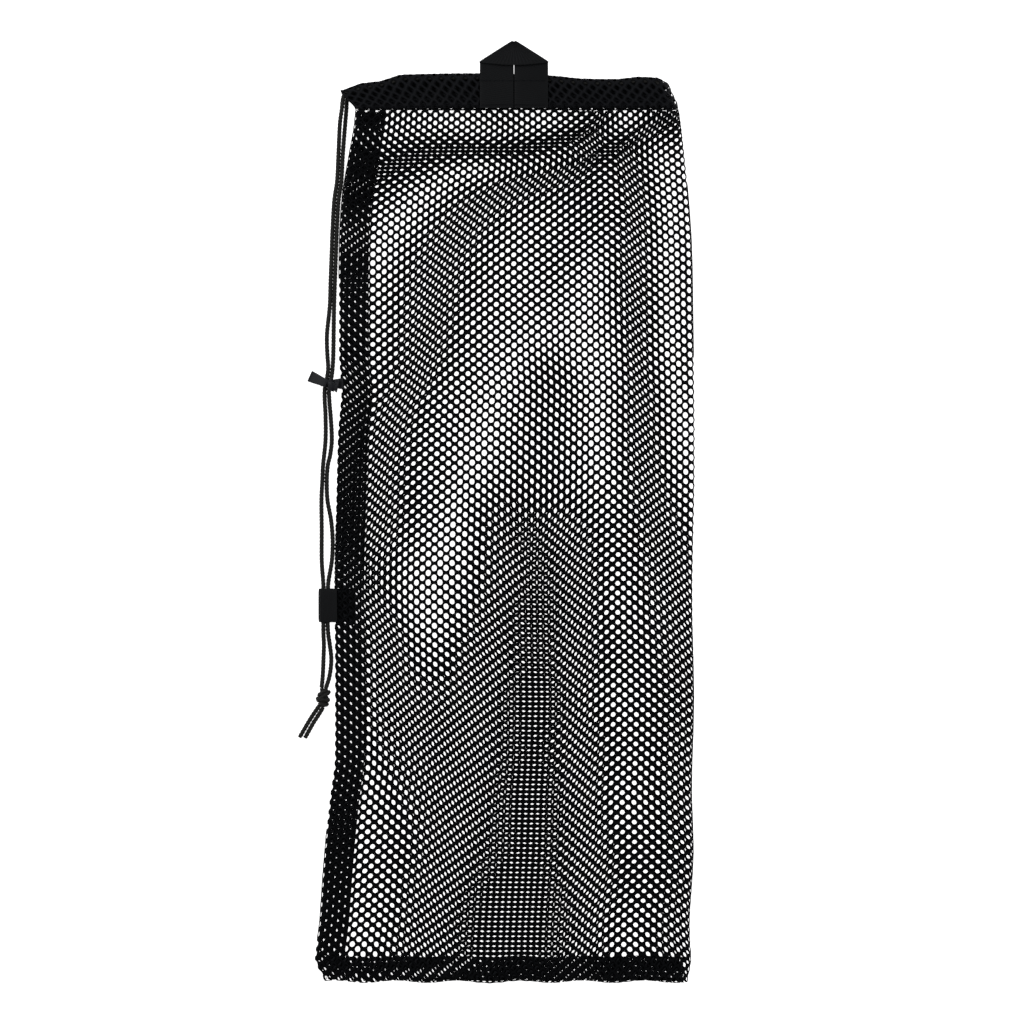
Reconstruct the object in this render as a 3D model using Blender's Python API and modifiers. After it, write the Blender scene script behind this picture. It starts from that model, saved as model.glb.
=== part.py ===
"""Mesh gear bag with a drawcord, empty and lying on its back panel with its mouth a little open.

Metres, +Z up. Seen from above, +X is to the right and +Y points out of the mouth. The origin is the
middle of the flat underside of the back panel. The net is one sheet, folded at the right edge and
sewn shut along the left edge and the bottom. Its mouth is hemmed into a casing that holds the cord.
"""
import math
from collections import namedtuple

import bmesh
import bpy
from mathutils import Vector

# Overall sizes
BAG_WIDTH = 0.284
BAG_LENGTH = 0.673
NET_WALL = 0.0012
CLEARANCE = 0.0003
MERGE = 0.00001

# Casing at the mouth, and the cord in it
CASING_DEPTH = 0.0265
CORD_DIAMETER = 0.0028
TUNNEL_PLAY = 0.0004
HEM_PINCH = 0.0005
MOUTH_GAP = 0.0060
CORNER_GAP = 0.0006
CORD_SLACK = 0.0010
END_GAP = 0.0009

# Seam allowances, turned to the inside
SIDE_ALLOWANCE = 0.020
BOTTOM_ALLOWANCE = 0.017
ALLOWANCE_THICKNESS = 0.0020
SHOULDER = 0.070
EDGE_WAVE = 0.0009
EDGE_WAVE_PITCH = 0.046
EDGE_WAVE_REACH = 0.030

# Webbing
WEBBING_WIDTH = 0.025
WEBBING_THICKNESS = 0.0012
HANG_LOOP_X = 0.0070
HANG_LOOP_PEAK = 0.0230
HANG_LOOP_SHOULDER = 0.0070
HANG_LOOP_SLIT = 0.0006
HANG_LOOP_APEX = 0.0040
HANG_LOOP_DROOP = 0.0030
HANG_LOOP_SAG = 0.0020
SIDE_LOOP_HEIGHT = 0.2797
SIDE_LOOP_REACH = 0.0115

# Keeper ribbon
RIBBON_WIDTH = 0.0085
RIBBON_THICKNESS = 0.0006
RIBBON_HEIGHT = 0.4440
RIBBON_REACH = 0.0146
RIBBON_TAIL = 0.0140
RIBBON_TAIL_SLOPE = 24.0
RIBBON_TAIL_WAIST = 0.0061
RIBBON_TAIL_CURL = 0.0009
RIBBON_TAIL_DROP = 0.46
RIBBON_KNOT = Vector((0.0090, 0.0088, 0.0045))
RIBBON_KNOT_OUT = 0.0050
RIBBON_KNOT_AXIS = Vector((0.8, 0.5, 0.3))
RIBBON_KNOT_TURNS = 2.6

# Knot that ties the two runs of the cord together
END_KNOT = Vector((0.0108, 0.0150, 0.0076))
END_KNOT_AT = Vector((-0.1344, -0.1252, 0.0033))
END_KNOT_AXIS = Vector((0.5, 0.85, 0.1))
END_KNOT_TURNS = 3.0

# Both knots: height of the ridges and depth of the flat underside, as shares of a unit ball
KNOT_RIDGE = 0.09
KNOT_FLOOR = 0.86

# How finely the knots and the sheets are divided
KNOT_SEGMENTS = 16
KNOT_RINGS = 10
LEG_STEPS = 6
WEBBING_STEPS = 4
LOOP_STRAIGHT_STEPS = 4
LOOP_TURN_STEPS = 8
STRIP_STEPS = 2
TAIL_STEPS = 6
SEAM_STEPS = 2
EDGE_STEPS = 2
BODY_FOLD_STEPS = 3
HEM_FOLD_STEPS = 4
PANEL_STEPS = 15
BODY_ROWS = 30
CASING_STEPS = 16
ROW_CROWDING = 0.35

# What follows from the sizes
BOTTOM_Y = -BAG_LENGTH / 2.0
STITCH_Y = BAG_LENGTH / 2.0 - CASING_DEPTH
CORD_RADIUS = CORD_DIAMETER / 2.0
TUNNEL = CORD_DIAMETER + 2.0 * TUNNEL_PLAY
HEM_STEP = TUNNEL + NET_WALL
HEM_THICKNESS = TUNNEL + 2.0 * NET_WALL
SEAM_STEP = NET_WALL + 2.0 * CLEARANCE + ALLOWANCE_THICKNESS
MOUTH_STEP = 2.0 * HEM_THICKNESS + MOUTH_GAP - NET_WALL
MOUTH_LIFT = MOUTH_STEP - SEAM_STEP
CORNER_LIFT = (2.0 * HEM_THICKNESS + CORNER_GAP - NET_WALL - SEAM_STEP) / MOUTH_LIFT

# Left and right outline. up is a share of the length, inset a share of the width.
Edge = namedtuple("Edge", "up inset")
LEFT_EDGE = [
    Edge(0.000, 0.040),
    Edge(0.009, 0.010),
    Edge(0.022, 0.001),
    Edge(0.060, 0.014),
    Edge(0.115, 0.023),
    Edge(0.196, 0.040),
    Edge(0.250, 0.056),
    Edge(0.360, 0.056),
    Edge(0.444, 0.054),
    Edge(0.526, 0.059),
    Edge(0.609, 0.064),
    Edge(0.650, 0.073),
    Edge(0.690, 0.066),
    Edge(0.800, 0.066),
    Edge(0.862, 0.073),
    Edge(0.911, 0.092),
    Edge(0.961, 0.110),
    Edge(1.000, 0.072),
]
RIGHT_EDGE = [
    Edge(0.000, 0.024),
    Edge(0.022, 0.010),
    Edge(0.059, 0.016),
    Edge(0.147, 0.005),
    Edge(0.213, 0.010),
    Edge(0.312, 0.004),
    Edge(0.420, 0.009),
    Edge(0.587, 0.002),
    Edge(0.719, 0.006),
    Edge(0.801, 0.009),
    Edge(0.856, 0.017),
    Edge(0.911, 0.030),
    Edge(0.961, 0.045),
    Edge(1.000, 0.068),
]

# Height of the front panel over the back one, as shares of the mouth's own lift.
Lift = namedtuple("Lift", "up left middle right")
LIFTS = [
    Lift(0.000, 0.00, 0.00, 0.00),
    Lift(0.040, 0.00, 0.00, 0.00),
    Lift(0.110, 0.00, 0.34, 0.10),
    Lift(0.250, 0.00, 0.52, 0.24),
    Lift(0.500, 0.00, 0.60, 0.30),
    Lift(0.750, 0.00, 0.60, 0.34),
    Lift(0.880, 0.10 * CORNER_LIFT, 0.74, 0.60),
    Lift(0.961, CORNER_LIFT, 1.00, 1.00),
    Lift(1.000, CORNER_LIFT, 1.00, 1.00),
]

# Soft folds of the front panel. across and up place the middle as shares of the width and length,
# long and wide are shares of the width, turn is in degrees from +X and rise is a share of the lift.
Fold = namedtuple("Fold", "across up long wide turn rise")
FOLDS = [
    Fold(0.24, 0.86, 0.34, 0.07, 62, 0.10),
    Fold(0.56, 0.86, 0.26, 0.12, 100, -0.10),
    Fold(0.66, 0.70, 0.40, 0.09, 108, 0.14),
    Fold(0.36, 0.60, 0.36, 0.09, 66, 0.14),
    Fold(0.52, 0.52, 0.46, 0.10, 90, -0.12),
    Fold(0.20, 0.42, 0.34, 0.07, 100, 0.10),
    Fold(0.72, 0.40, 0.40, 0.08, 84, 0.10),
    Fold(0.40, 0.24, 0.42, 0.10, 94, -0.08),
    Fold(0.20, 0.13, 0.24, 0.07, 118, 0.12),
    Fold(0.76, 0.14, 0.30, 0.08, 70, 0.10),
]

# Dip of the casing's fold below its highest place, as a share of the casing's depth.
Dip = namedtuple("Dip", "across drop")
CASING_DIPS = [
    Dip(0.00, 0.46),
    Dip(0.06, 0.24),
    Dip(0.12, 0.18),
    Dip(0.18, 0.00),
    Dip(0.40, -0.02),
    Dip(0.62, 0.03),
    Dip(0.76, 0.14),
    Dip(0.86, 0.14),
    Dip(0.93, 0.04),
    Dip(1.00, 0.22),
]

# The hem's inner wall below the tunnel. up is a share of the way from the stitches to the tunnel,
# wide is how far the hem has opened.
HemFoot = namedtuple("HemFoot", "up wide")
HEM_FOOT = [
    HemFoot(1.00, 1.00),
    HemFoot(0.62, 0.35),
    HemFoot(0.35, 0.00),
    HemFoot(0.00, 0.00),
]

# The hanging loop's flap from its fold to its middle. out and apex are shares of those places on the
# leg, sag is a share of the flap's own sag and rise counts layers of webbing.
Flap = namedtuple("Flap", "out apex sag rise")
FLAP = [
    Flap(1.00, 0.90, 0.00, 1.00),
    Flap(0.62, 0.50, 0.50, 1.25),
    Flap(0.30, 0.25, 0.90, 1.40),
    Flap(0.00, 0.00, 1.00, 1.40),
]

# The two free runs of the cord and its two tails, chosen by hand along their middle lines.
CORNER_A = (-0.1145, 0.3236, 0.0095)
CORNER_B = (-0.1119, 0.3236, 0.0030)
RUN_A = [
    (-0.1174, 0.3218, 0.0095),
    (-0.1191, 0.3194, 0.0093),
    (-0.1198, 0.3161, 0.0091),
    (-0.1204, 0.3105, 0.0083),
    (-0.1220, 0.2988, 0.0060),
    (-0.1232, 0.2765, 0.0024),
    (-0.1242, 0.2580, 0.0015),
    (-0.1263, 0.2432, 0.0015),
    (-0.1276, 0.2210, 0.0015),
    (-0.1283, 0.2026, 0.0015),
    (-0.1290, 0.1840, 0.0015),
    (-0.1296, 0.1656, 0.0015),
    (-0.1315, 0.1470, 0.0015),
    (-0.1318, 0.1382, 0.0015),
    (-0.1314, 0.1285, 0.0015),
    (-0.1308, 0.1200, 0.0020),
    (-0.1314, 0.1130, 0.0024),
    (-0.1332, 0.1041, 0.0024),
    (-0.1334, 0.0952, 0.0019),
    (-0.1328, 0.0840, 0.0015),
    (-0.1328, 0.0656, 0.0015),
    (-0.1346, 0.0472, 0.0015),
    (-0.1351, 0.0360, 0.0015),
    (-0.1358, 0.0213, 0.0015),
    (-0.1356, -0.0010, 0.0015),
    (-0.1356, -0.0230, 0.0016),
    (-0.1346, -0.0375, 0.0025),
    (-0.1342, -0.0450, 0.0030),
    (-0.1342, -0.0570, 0.0030),
    (-0.1343, -0.0690, 0.0030),
    (-0.1343, -0.0780, 0.0022),
    (-0.1340, -0.0860, 0.0015),
    (-0.1343, -0.0970, 0.0015),
    (-0.1348, -0.1090, 0.0022),
    (-0.1356, -0.1179, 0.0032),
]
RUN_B = [
    (-0.1147, 0.3218, 0.0030),
    (-0.1163, 0.3194, 0.0030),
    (-0.1170, 0.3161, 0.0028),
    (-0.1173, 0.3105, 0.0022),
    (-0.1183, 0.2988, 0.0016),
    (-0.1200, 0.2765, 0.0015),
    (-0.1210, 0.2580, 0.0015),
    (-0.1231, 0.2432, 0.0015),
    (-0.1244, 0.2210, 0.0015),
    (-0.1251, 0.2026, 0.0015),
    (-0.1258, 0.1840, 0.0015),
    (-0.1264, 0.1656, 0.0015),
    (-0.1267, 0.1470, 0.0015),
    (-0.1270, 0.1285, 0.0015),
    (-0.1274, 0.1200, 0.0020),
    (-0.1282, 0.1130, 0.0024),
    (-0.1300, 0.1041, 0.0024),
    (-0.1299, 0.0952, 0.0019),
    (-0.1287, 0.0804, 0.0015),
    (-0.1281, 0.0656, 0.0015),
    (-0.1293, 0.0546, 0.0015),
    (-0.1310, 0.0472, 0.0015),
    (-0.1318, 0.0360, 0.0015),
    (-0.1313, 0.0213, 0.0015),
    (-0.1287, 0.0065, 0.0015),
    (-0.1275, -0.0083, 0.0015),
    (-0.1280, -0.0230, 0.0016),
    (-0.1303, -0.0375, 0.0025),
    (-0.1309, -0.0450, 0.0030),
    (-0.1310, -0.0570, 0.0030),
    (-0.1311, -0.0690, 0.0030),
    (-0.1307, -0.0780, 0.0022),
    (-0.1296, -0.0860, 0.0015),
    (-0.1285, -0.0970, 0.0015),
    (-0.1297, -0.1090, 0.0022),
    (-0.1325, -0.1186, 0.0032),
]
TAIL_A = [
    (-0.1371, -0.1308, 0.0032),
    (-0.1412, -0.1368, 0.0020),
    (-0.1443, -0.1415, 0.0015),
    (-0.1484, -0.1485, 0.0015),
    (-0.1521, -0.1549, 0.0015),
]
TAIL_B = [
    (-0.1344, -0.1324, 0.0032),
    (-0.1383, -0.1387, 0.0020),
    (-0.1415, -0.1436, 0.0015),
    (-0.1449, -0.1496, 0.0015),
    (-0.1480, -0.1553, 0.0015),
]
RUN_POINTS = 40
RUN_CROWDING = 1.25
TAIL_POINTS = 6
TURN_POINTS = 5
SMOOTH_STEPS = 12


def smooth(share):
    """An S-curve from 0 to 1."""
    share = min(max(share, 0.0), 1.0)
    return share * share * (3.0 - 2.0 * share)


def mix(low, high, share):
    return low + (high - low) * share


def read(rows, at, column):
    """A table's column where its first column is at, on a curve that never overshoots its rows."""
    places = [row[0] for row in rows]
    values = [getattr(row, column) for row in rows]
    at = min(max(at, places[0]), places[-1])
    slopes = [(values[k + 1] - values[k]) / (places[k + 1] - places[k]) for k in range(len(rows) - 1)]
    bends = [slopes[0]]
    for before, after in zip(slopes, slopes[1:]):
        bends.append(2.0 * before * after / (before + after) if before * after > 0.0 else 0.0)
    bends.append(slopes[-1])
    k = max(k for k in range(len(slopes)) if places[k] <= at)
    step = places[k + 1] - places[k]
    t = (at - places[k]) / step
    start = values[k] * (1.0 + 2.0 * t) + bends[k] * step * t
    end = values[k + 1] * (3.0 - 2.0 * t) + bends[k + 1] * step * (t - 1.0)
    return start * (1.0 - t) ** 2 + end * t * t


def share_up(y):
    return (y - BOTTOM_Y) / BAG_LENGTH


def left_edge(y):
    return BAG_WIDTH * (read(LEFT_EDGE, share_up(y), "inset") - 0.5)


def right_edge(y):
    return BAG_WIDTH * (0.5 - read(RIGHT_EDGE, share_up(y), "inset"))


def fold_height(x, y):
    """What the soft folds add at a place, as a share of the mouth's lift."""
    total = 0.0
    for fold in FOLDS:
        turn = math.radians(fold.turn)
        out = x - BAG_WIDTH * (fold.across - 0.5)
        up = y - (BOTTOM_Y + BAG_LENGTH * fold.up)
        along = (out * math.cos(turn) + up * math.sin(turn)) / (BAG_WIDTH * fold.long)
        beside = (up * math.cos(turn) - out * math.sin(turn)) / (BAG_WIDTH * fold.wide)
        total += fold.rise * math.exp(-along * along - beside * beside)
    return total


def panel_step(x, y):
    """Height from the middle of the back panel's wall to the middle of the front panel's."""
    up = share_up(y)
    inner = left_edge(y) + SIDE_ALLOWANCE + SEAM_STEP
    from_left = smooth((x - inner) / SHOULDER)
    from_right = smooth((right_edge(y) - x) / SHOULDER)
    share = mix(read(LIFTS, up, "left"), read(LIFTS, up, "middle"), from_left)
    share = mix(read(LIFTS, up, "right"), share, from_right)
    below_mouth = smooth((STITCH_Y - y) / SHOULDER)
    above_seam = smooth((y - BOTTOM_Y - BOTTOM_ALLOWANCE - SEAM_STEP) / SHOULDER)
    share += fold_height(x, y) * from_left * from_right * below_mouth * above_seam
    return SEAM_STEP + MOUTH_LIFT * max(share, 0.0)


def bottom_wave(x, y):
    """The sewn bottom edge runs in shallow waves."""
    fade = smooth(1.0 - (y - BOTTOM_Y) / EDGE_WAVE_REACH)
    return EDGE_WAVE * fade * math.sin(2.0 * math.pi * x / EDGE_WAVE_PITCH)


def row_share(share):
    """Rows stand closer together near the bottom seam and near the mouth."""
    return share - ROW_CROWDING * math.sin(2.0 * math.pi * share) / (2.0 * math.pi)


def material(name, colour, roughness):
    made = bpy.data.materials.new(name)
    made.use_nodes = True
    shader = made.node_tree.nodes["Principled BSDF"]
    shader.inputs["Base Color"].default_value = (*colour, 1.0)
    shader.inputs["Roughness"].default_value = roughness
    shader.inputs["Metallic"].default_value = 0.0
    return made


def add_object(name, data, finish):
    made = bpy.data.objects.new(name, data)
    data.materials.append(finish)
    parts.objects.link(made)
    return made


def sheet(name, columns, rows, place, wall, finish):
    """A grid of cloth whose corner (i, j) goes to place(i, j). Edges that meet are sewn together."""
    cloth = bmesh.new()
    bmesh.ops.create_grid(cloth, x_segments=columns, y_segments=rows, size=0.5)
    for corner in cloth.verts:
        i = round((corner.co.x + 0.5) * columns)
        j = round((corner.co.y + 0.5) * rows)
        corner.co = place(i, j)
    bmesh.ops.remove_doubles(cloth, verts=cloth.verts, dist=MERGE)
    bmesh.ops.recalc_face_normals(cloth, faces=cloth.faces)
    mesh = bpy.data.meshes.new(name)
    cloth.to_mesh(mesh)
    cloth.free()
    made = add_object(name, mesh, finish)
    mesh.shade_smooth()
    thicken = made.modifiers.new("wall", "SOLIDIFY")
    thicken.thickness = wall
    thicken.offset = 0.0
    thicken.use_even_offset = True
    return made


def smooth_line(route, count, before=None, after=None, crowding=1.0):
    """count points along a smooth curve through the route, which may come from and go on to others.

    A crowding over 1 sets them closer together towards the start.
    """
    points = [Vector(p) for p in route]
    first = Vector(before) if before else 2.0 * points[0] - points[1]
    last = Vector(after) if after else 2.0 * points[-1] - points[-2]
    points = [first, *points, last]
    fine = []
    for a, b, c, d in zip(points, points[1:], points[2:], points[3:]):
        for k in range(SMOOTH_STEPS):
            t = k / SMOOTH_STEPS
            fine.append(
                0.5 * (2.0 * b + (c - a) * t + (2.0 * a - 5.0 * b + 4.0 * c - d) * t * t
                       + (3.0 * b - a - 3.0 * c + d) * t ** 3)
            )
    fine.append(points[-2])
    reach = [0.0]
    for a, b in zip(fine, fine[1:]):
        reach.append(reach[-1] + (b - a).length)
    line = []
    k = 0
    for step in range(count):
        goal = reach[-1] * (step / (count - 1)) ** crowding
        while k < len(fine) - 2 and reach[k + 1] < goal:
            k += 1
        line.append(fine[k].lerp(fine[k + 1], (goal - reach[k]) / (reach[k + 1] - reach[k])))
    return line


def cord(name, line, finish):
    """A round cord along a line, with flat cut ends."""
    curve = bpy.data.curves.new(name, "CURVE")
    curve.dimensions = "3D"
    curve.bevel_depth = CORD_RADIUS
    curve.bevel_resolution = 2
    curve.use_fill_caps = True
    spline = curve.splines.new("POLY")
    spline.points.add(len(line) - 1)
    for point, place in zip(spline.points, line):
        point.co = (*place, 1.0)
    return add_object(name, curve, finish)


def ring_place(k, side, y, edge_steps, panel_steps, fold_steps):
    """x of the k-th place from the left edge to the folded edge, and how far it opens, -1 to 1.

    side is -1 on the back panel and 1 on the front panel.
    """
    steps = edge_steps + panel_steps + fold_steps
    left = left_edge(y) + NET_WALL / 2.0
    right = right_edge(y) - NET_WALL / 2.0
    left_round = panel_step(left, y) / 2.0 if edge_steps else 0.0
    right_round = panel_step(right, y) / 2.0
    if k < edge_steps:
        turn = math.pi / 2.0 * k / edge_steps
        return left + left_round * (1.0 - math.cos(turn)), side * math.sin(turn)
    if k > steps - fold_steps:
        turn = math.pi / 2.0 * (steps - k) / fold_steps
        return right - right_round * (1.0 - math.cos(turn)), side * math.sin(turn)
    share = (k - edge_steps) / panel_steps
    return mix(left + left_round, right - right_round, share), side


def make_body(finish):
    """The pouch: one sheet from the left seam, round the folded edge and back to the left seam."""
    half = EDGE_STEPS + PANEL_STEPS + BODY_FOLD_STEPS
    bottom_round = SEAM_STEP / 2.0
    lowest = BOTTOM_Y + NET_WALL / 2.0

    def place(i, j):
        if j < EDGE_STEPS:
            turn = math.pi / 2.0 * j / EDGE_STEPS
            y = lowest + bottom_round * (1.0 - math.cos(turn))
            opening = math.sin(turn)
        else:
            y = mix(lowest + bottom_round, STITCH_Y, row_share((j - EDGE_STEPS) / BODY_ROWS))
            opening = 1.0
        side = -1.0 if i <= half else 1.0
        k = min(i, 2 * half - i)
        x, open_share = ring_place(k, side, y, EDGE_STEPS, PANEL_STEPS, BODY_FOLD_STEPS)
        z = NET_WALL / 2.0 + panel_step(x, y) * (1.0 + open_share * opening) / 2.0
        return Vector((x, y + bottom_wave(x, y), z))

    return sheet("mesh_body", 2 * half, EDGE_STEPS + BODY_ROWS, place, NET_WALL, finish)


def casing_top(x):
    """Depth of the casing from its stitch line to its fold."""
    left, right = left_edge(STITCH_Y), right_edge(STITCH_Y)
    return CASING_DEPTH * (1.0 - read(CASING_DIPS, (x - left) / (right - left), "drop"))


def casing_lean(x):
    """How far the fold stands to the side of the stitch line."""
    left, right = left_edge(STITCH_Y), right_edge(STITCH_Y)
    top = BAG_LENGTH / 2.0
    share = (x - left) / (right - left)
    return mix(left_edge(top) - left, right_edge(top) - right, share)


def hem_section(depth):
    """The hem's closed section, from the stitch line up, over the fold and down inside the mouth.

    Each row is the rise from the stitch line and how far it lies inwards of the outer wall.
    """
    radius = HEM_STEP / 2.0
    pinch = NET_WALL + HEM_PINCH
    tunnel_foot = depth - HEM_STEP - TUNNEL
    rows = [(0.0, 0.0), (2.0 * NET_WALL, 0.0), (depth * 0.5, 0.0), (depth - radius, 0.0)]
    for quarter in (0.25, 0.5, 0.75):
        turn = math.pi * quarter
        rows.append((depth - radius + radius * math.sin(turn), radius * (1.0 - math.cos(turn))))
    rows.append((depth - radius, HEM_STEP))
    for foot in HEM_FOOT:
        rows.append((tunnel_foot * foot.up, mix(pinch, HEM_STEP, foot.wide)))
    rows.append(rows[0])
    return rows


def casing_station(i):
    """The i-th place along the casing: from its back left end, round the folded edge, to the front.

    Gives the outer wall's place and the outward direction in the XZ plane.
    """
    half = CASING_STEPS + HEM_FOLD_STEPS
    side = -1.0 if i <= half else 1.0
    k = min(i, 2 * half - i)
    x, open_share = ring_place(k, side, STITCH_Y, 0, CASING_STEPS, HEM_FOLD_STEPS)
    step = panel_step(x, STITCH_Y)
    z = NET_WALL / 2.0 + step * (1.0 + open_share) / 2.0
    sideways = math.sqrt(max(1.0 - open_share * open_share, 0.0))
    return Vector((x, 0.0, z)), Vector((sideways, 0.0, open_share))


def casing_place(station, outward, depth, rise, inward):
    """The place in the hem that lies this far up from the stitches and inwards of the outer wall."""
    base = STITCH_Y + CLEARANCE + NET_WALL / 2.0
    lean = casing_lean(station.x) * smooth(rise / depth)
    place = station - outward * inward
    return Vector((place.x + lean, base + rise, place.z))


def make_casing(finish):
    """The hem round the mouth: its section carried along the casing from end to end."""
    columns = 2 * (CASING_STEPS + HEM_FOLD_STEPS)
    around = len(hem_section(CASING_DEPTH)) - 1

    def place(i, j):
        station, outward = casing_station(i)
        depth = casing_top(station.x) - CLEARANCE - NET_WALL
        rise, inward = hem_section(depth)[j]
        return casing_place(station, outward, depth, rise, inward)

    return sheet("drawcord_casing", columns, around, place, NET_WALL, finish)


def tunnel_line():
    """Middle of the tunnel from its back left end to its front left end, with a turn at each end."""
    columns = 2 * (CASING_STEPS + HEM_FOLD_STEPS)
    line = []
    for i in range(1, columns):
        station, outward = casing_station(i)
        depth = casing_top(station.x) - CLEARANCE - NET_WALL
        rise = depth - HEM_STEP / 2.0 - CORD_SLACK
        line.append(casing_place(station, outward, depth, rise, HEM_STEP / 2.0))
    return line


def make_casing_cord(finish):
    """The stretch of cord in the tunnel. It turns down at both ends to leave at the corner."""
    inside = [p for p in tunnel_line() if p.x > CORNER_B[0] + CORD_DIAMETER]
    ends = []
    for near, corner, run in ((inside[0], CORNER_B, RUN_B), (inside[-1], CORNER_A, RUN_A)):
        way_out = (Vector(run[1]) - Vector(corner)).normalized()
        leave = Vector(run[0]) - END_GAP * way_out
        ends.append(smooth_line([near, corner, leave], TURN_POINTS, after=run[1]))
    back, front = ends
    return cord("casing_cord", back[:0:-1] + inside + front[1:], finish)


def allowance_line(y):
    """Outer edge of the side allowance: the middle of the round left edge."""
    return left_edge(y) + NET_WALL / 2.0 + panel_step(left_edge(y), y) / 2.0 + CLEARANCE


def seam_foot():
    """Lower edge of the bottom allowance: the middle of the round bottom edge."""
    return BOTTOM_Y + NET_WALL / 2.0 + SEAM_STEP / 2.0


def make_side_seam(finish):
    """The two layers turned inside along the left edge, down to the bottom allowance."""
    low = seam_foot() + BOTTOM_ALLOWANCE + 2.0 * CLEARANCE
    high = STITCH_Y - CLEARANCE
    level = NET_WALL + CLEARANCE + ALLOWANCE_THICKNESS / 2.0

    def place(i, j):
        y = mix(low, high, row_share(j / BODY_ROWS))
        return Vector((allowance_line(y) + SIDE_ALLOWANCE * i / SEAM_STEPS, y, level))

    return sheet("side_seam", SEAM_STEPS, BODY_ROWS, place, ALLOWANCE_THICKNESS, finish)


def make_bottom_seam(finish):
    """The two layers turned inside along the bottom, between the rounded corners."""
    left = allowance_line(BOTTOM_Y) + CLEARANCE
    right = right_edge(BOTTOM_Y) - NET_WALL / 2.0 - SEAM_STEP / 2.0
    level = NET_WALL + CLEARANCE + ALLOWANCE_THICKNESS / 2.0

    def place(i, j):
        x = mix(left, right, i / PANEL_STEPS)
        share = j / SEAM_STEPS
        y = seam_foot() + CLEARANCE + BOTTOM_ALLOWANCE * share
        return Vector((x, y + bottom_wave(x, BOTTOM_Y) * (1.0 - share), level))

    return sheet("bottom_seam", PANEL_STEPS, SEAM_STEPS, place, ALLOWANCE_THICKNESS, finish)


def make_hanging_loop(finish):
    """One strip of webbing up the casing, folded across in front and down again beside itself.

    Each row gives the outer and the inner end of a line across the strip, and its height over the
    legs, for the left half. The right half mirrors it.
    """
    foot = STITCH_Y + CLEARANCE
    fold_y = BAG_LENGTH / 2.0
    shoulder = fold_y + HANG_LOOP_SHOULDER
    peak = fold_y + HANG_LOOP_PEAK
    inner = HANG_LOOP_SLIT / 2.0
    outer = inner + WEBBING_WIDTH
    apex = HANG_LOOP_APEX / 2.0
    layer = WEBBING_THICKNESS + 2.0 * CLEARANCE
    rows = []
    for k in range(LEG_STEPS + 1):
        share = k / LEG_STEPS
        outer_end = (outer, mix(foot, shoulder, share))
        inner_end = (mix(inner, apex, share ** 4), mix(foot, peak, share))
        rows.append((outer_end, inner_end, 0.0))
    bend = Vector((peak - shoulder, outer - apex)).normalized() * layer / 2.0
    rows.append(((outer + bend.x, shoulder + bend.y), (apex, peak + bend.y), layer / 2.0))
    for flap in FLAP:
        outer_end = (outer * flap.out, shoulder - HANG_LOOP_SAG * flap.sag)
        rows.append((outer_end, (apex * flap.apex, peak), layer * flap.rise))
    last = len(rows) - 1
    top_face = NET_WALL + panel_step(HANG_LOOP_X, STITCH_Y)
    level = top_face + CLEARANCE + WEBBING_THICKNESS / 2.0

    def place(i, j):
        outer_end, inner_end, lift = rows[min(i, 2 * last - i)]
        hand = -1.0 if i <= last else 1.0
        share = j / WEBBING_STEPS
        x = HANG_LOOP_X + hand * mix(outer_end[0], inner_end[0], share)
        y = mix(outer_end[1], inner_end[1], share)
        droop = HANG_LOOP_DROOP * smooth((y - fold_y) / HANG_LOOP_PEAK)
        return Vector((x, y, level + lift - droop))

    return sheet("hanging_loop", 2 * last, WEBBING_STEPS, place, WEBBING_THICKNESS, finish)


def over_cords(thickness):
    """Height of the middle of a strip that passes over the cords, with another one under them."""
    return 1.5 * thickness + CORD_DIAMETER + 2.0 * CLEARANCE + TUNNEL_PLAY


def over_seam(thickness):
    """Height of the middle of a strip that lies on the left seam."""
    return NET_WALL + SEAM_STEP + CLEARANCE + thickness / 2.0


def make_loop_round_cords(name, height, width, reach, thickness, finish):
    """A strip from the left seam, under the cords, round them and back over them to the seam."""
    middle = BOTTOM_Y + height
    lower = thickness / 2.0
    upper = over_cords(thickness)
    radius = (upper - lower) / 2.0
    seam_radius = (NET_WALL + SEAM_STEP) / 2.0
    straight = LOOP_STRAIGHT_STEPS
    turns = LOOP_TURN_STEPS

    def place(i, j):
        y = middle + width * (j / STRIP_STEPS - 0.5)
        edge = left_edge(y)
        outer = left_edge(middle) - reach + thickness / 2.0 + radius
        under_end = edge + seam_radius - math.sqrt(seam_radius ** 2 - (seam_radius - thickness) ** 2)
        over_end = edge + seam_radius
        over_level = max(upper, over_seam(thickness))
        if i <= straight:
            return Vector((mix(under_end - 2.0 * CLEARANCE, outer, i / straight), y, lower))
        if i < straight + turns:
            turn = math.pi * (i - straight) / turns
            x = outer - radius * math.sin(turn)
            return Vector((x, y, lower + radius * (1.0 - math.cos(turn))))
        share = (i - straight - turns) / straight
        return Vector((mix(outer, over_end, share), y, mix(upper, over_level, smooth(share))))

    return sheet(name, 2 * straight + turns, STRIP_STEPS, place, thickness, finish)


def knot_floor(size):
    """How far a knot's flat underside lies below its middle."""
    return KNOT_FLOOR / (1.0 + KNOT_RIDGE) * size.z / 2.0


def lump(name, middle, size, axis, turns, finish):
    """A tied knot's outer form: a rounded lump with the soft ridges of its turns, flat below."""
    knot = bmesh.new()
    bmesh.ops.create_uvsphere(knot, u_segments=KNOT_SEGMENTS, v_segments=KNOT_RINGS, radius=1.0)
    along = axis.normalized()
    widest = 1.0 + KNOT_RIDGE
    for corner in knot.verts:
        away = corner.co.normalized()
        spot = away * (1.0 + KNOT_RIDGE * math.cos(math.pi * turns * away.dot(along)))
        spot.z = max(spot.z, -KNOT_FLOOR)
        corner.co = spot * size / 2.0 / widest
    mesh = bpy.data.meshes.new(name)
    knot.to_mesh(mesh)
    knot.free()
    mesh.shade_smooth()
    made = add_object(name, mesh, finish)
    made.location = middle
    return made


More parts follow.
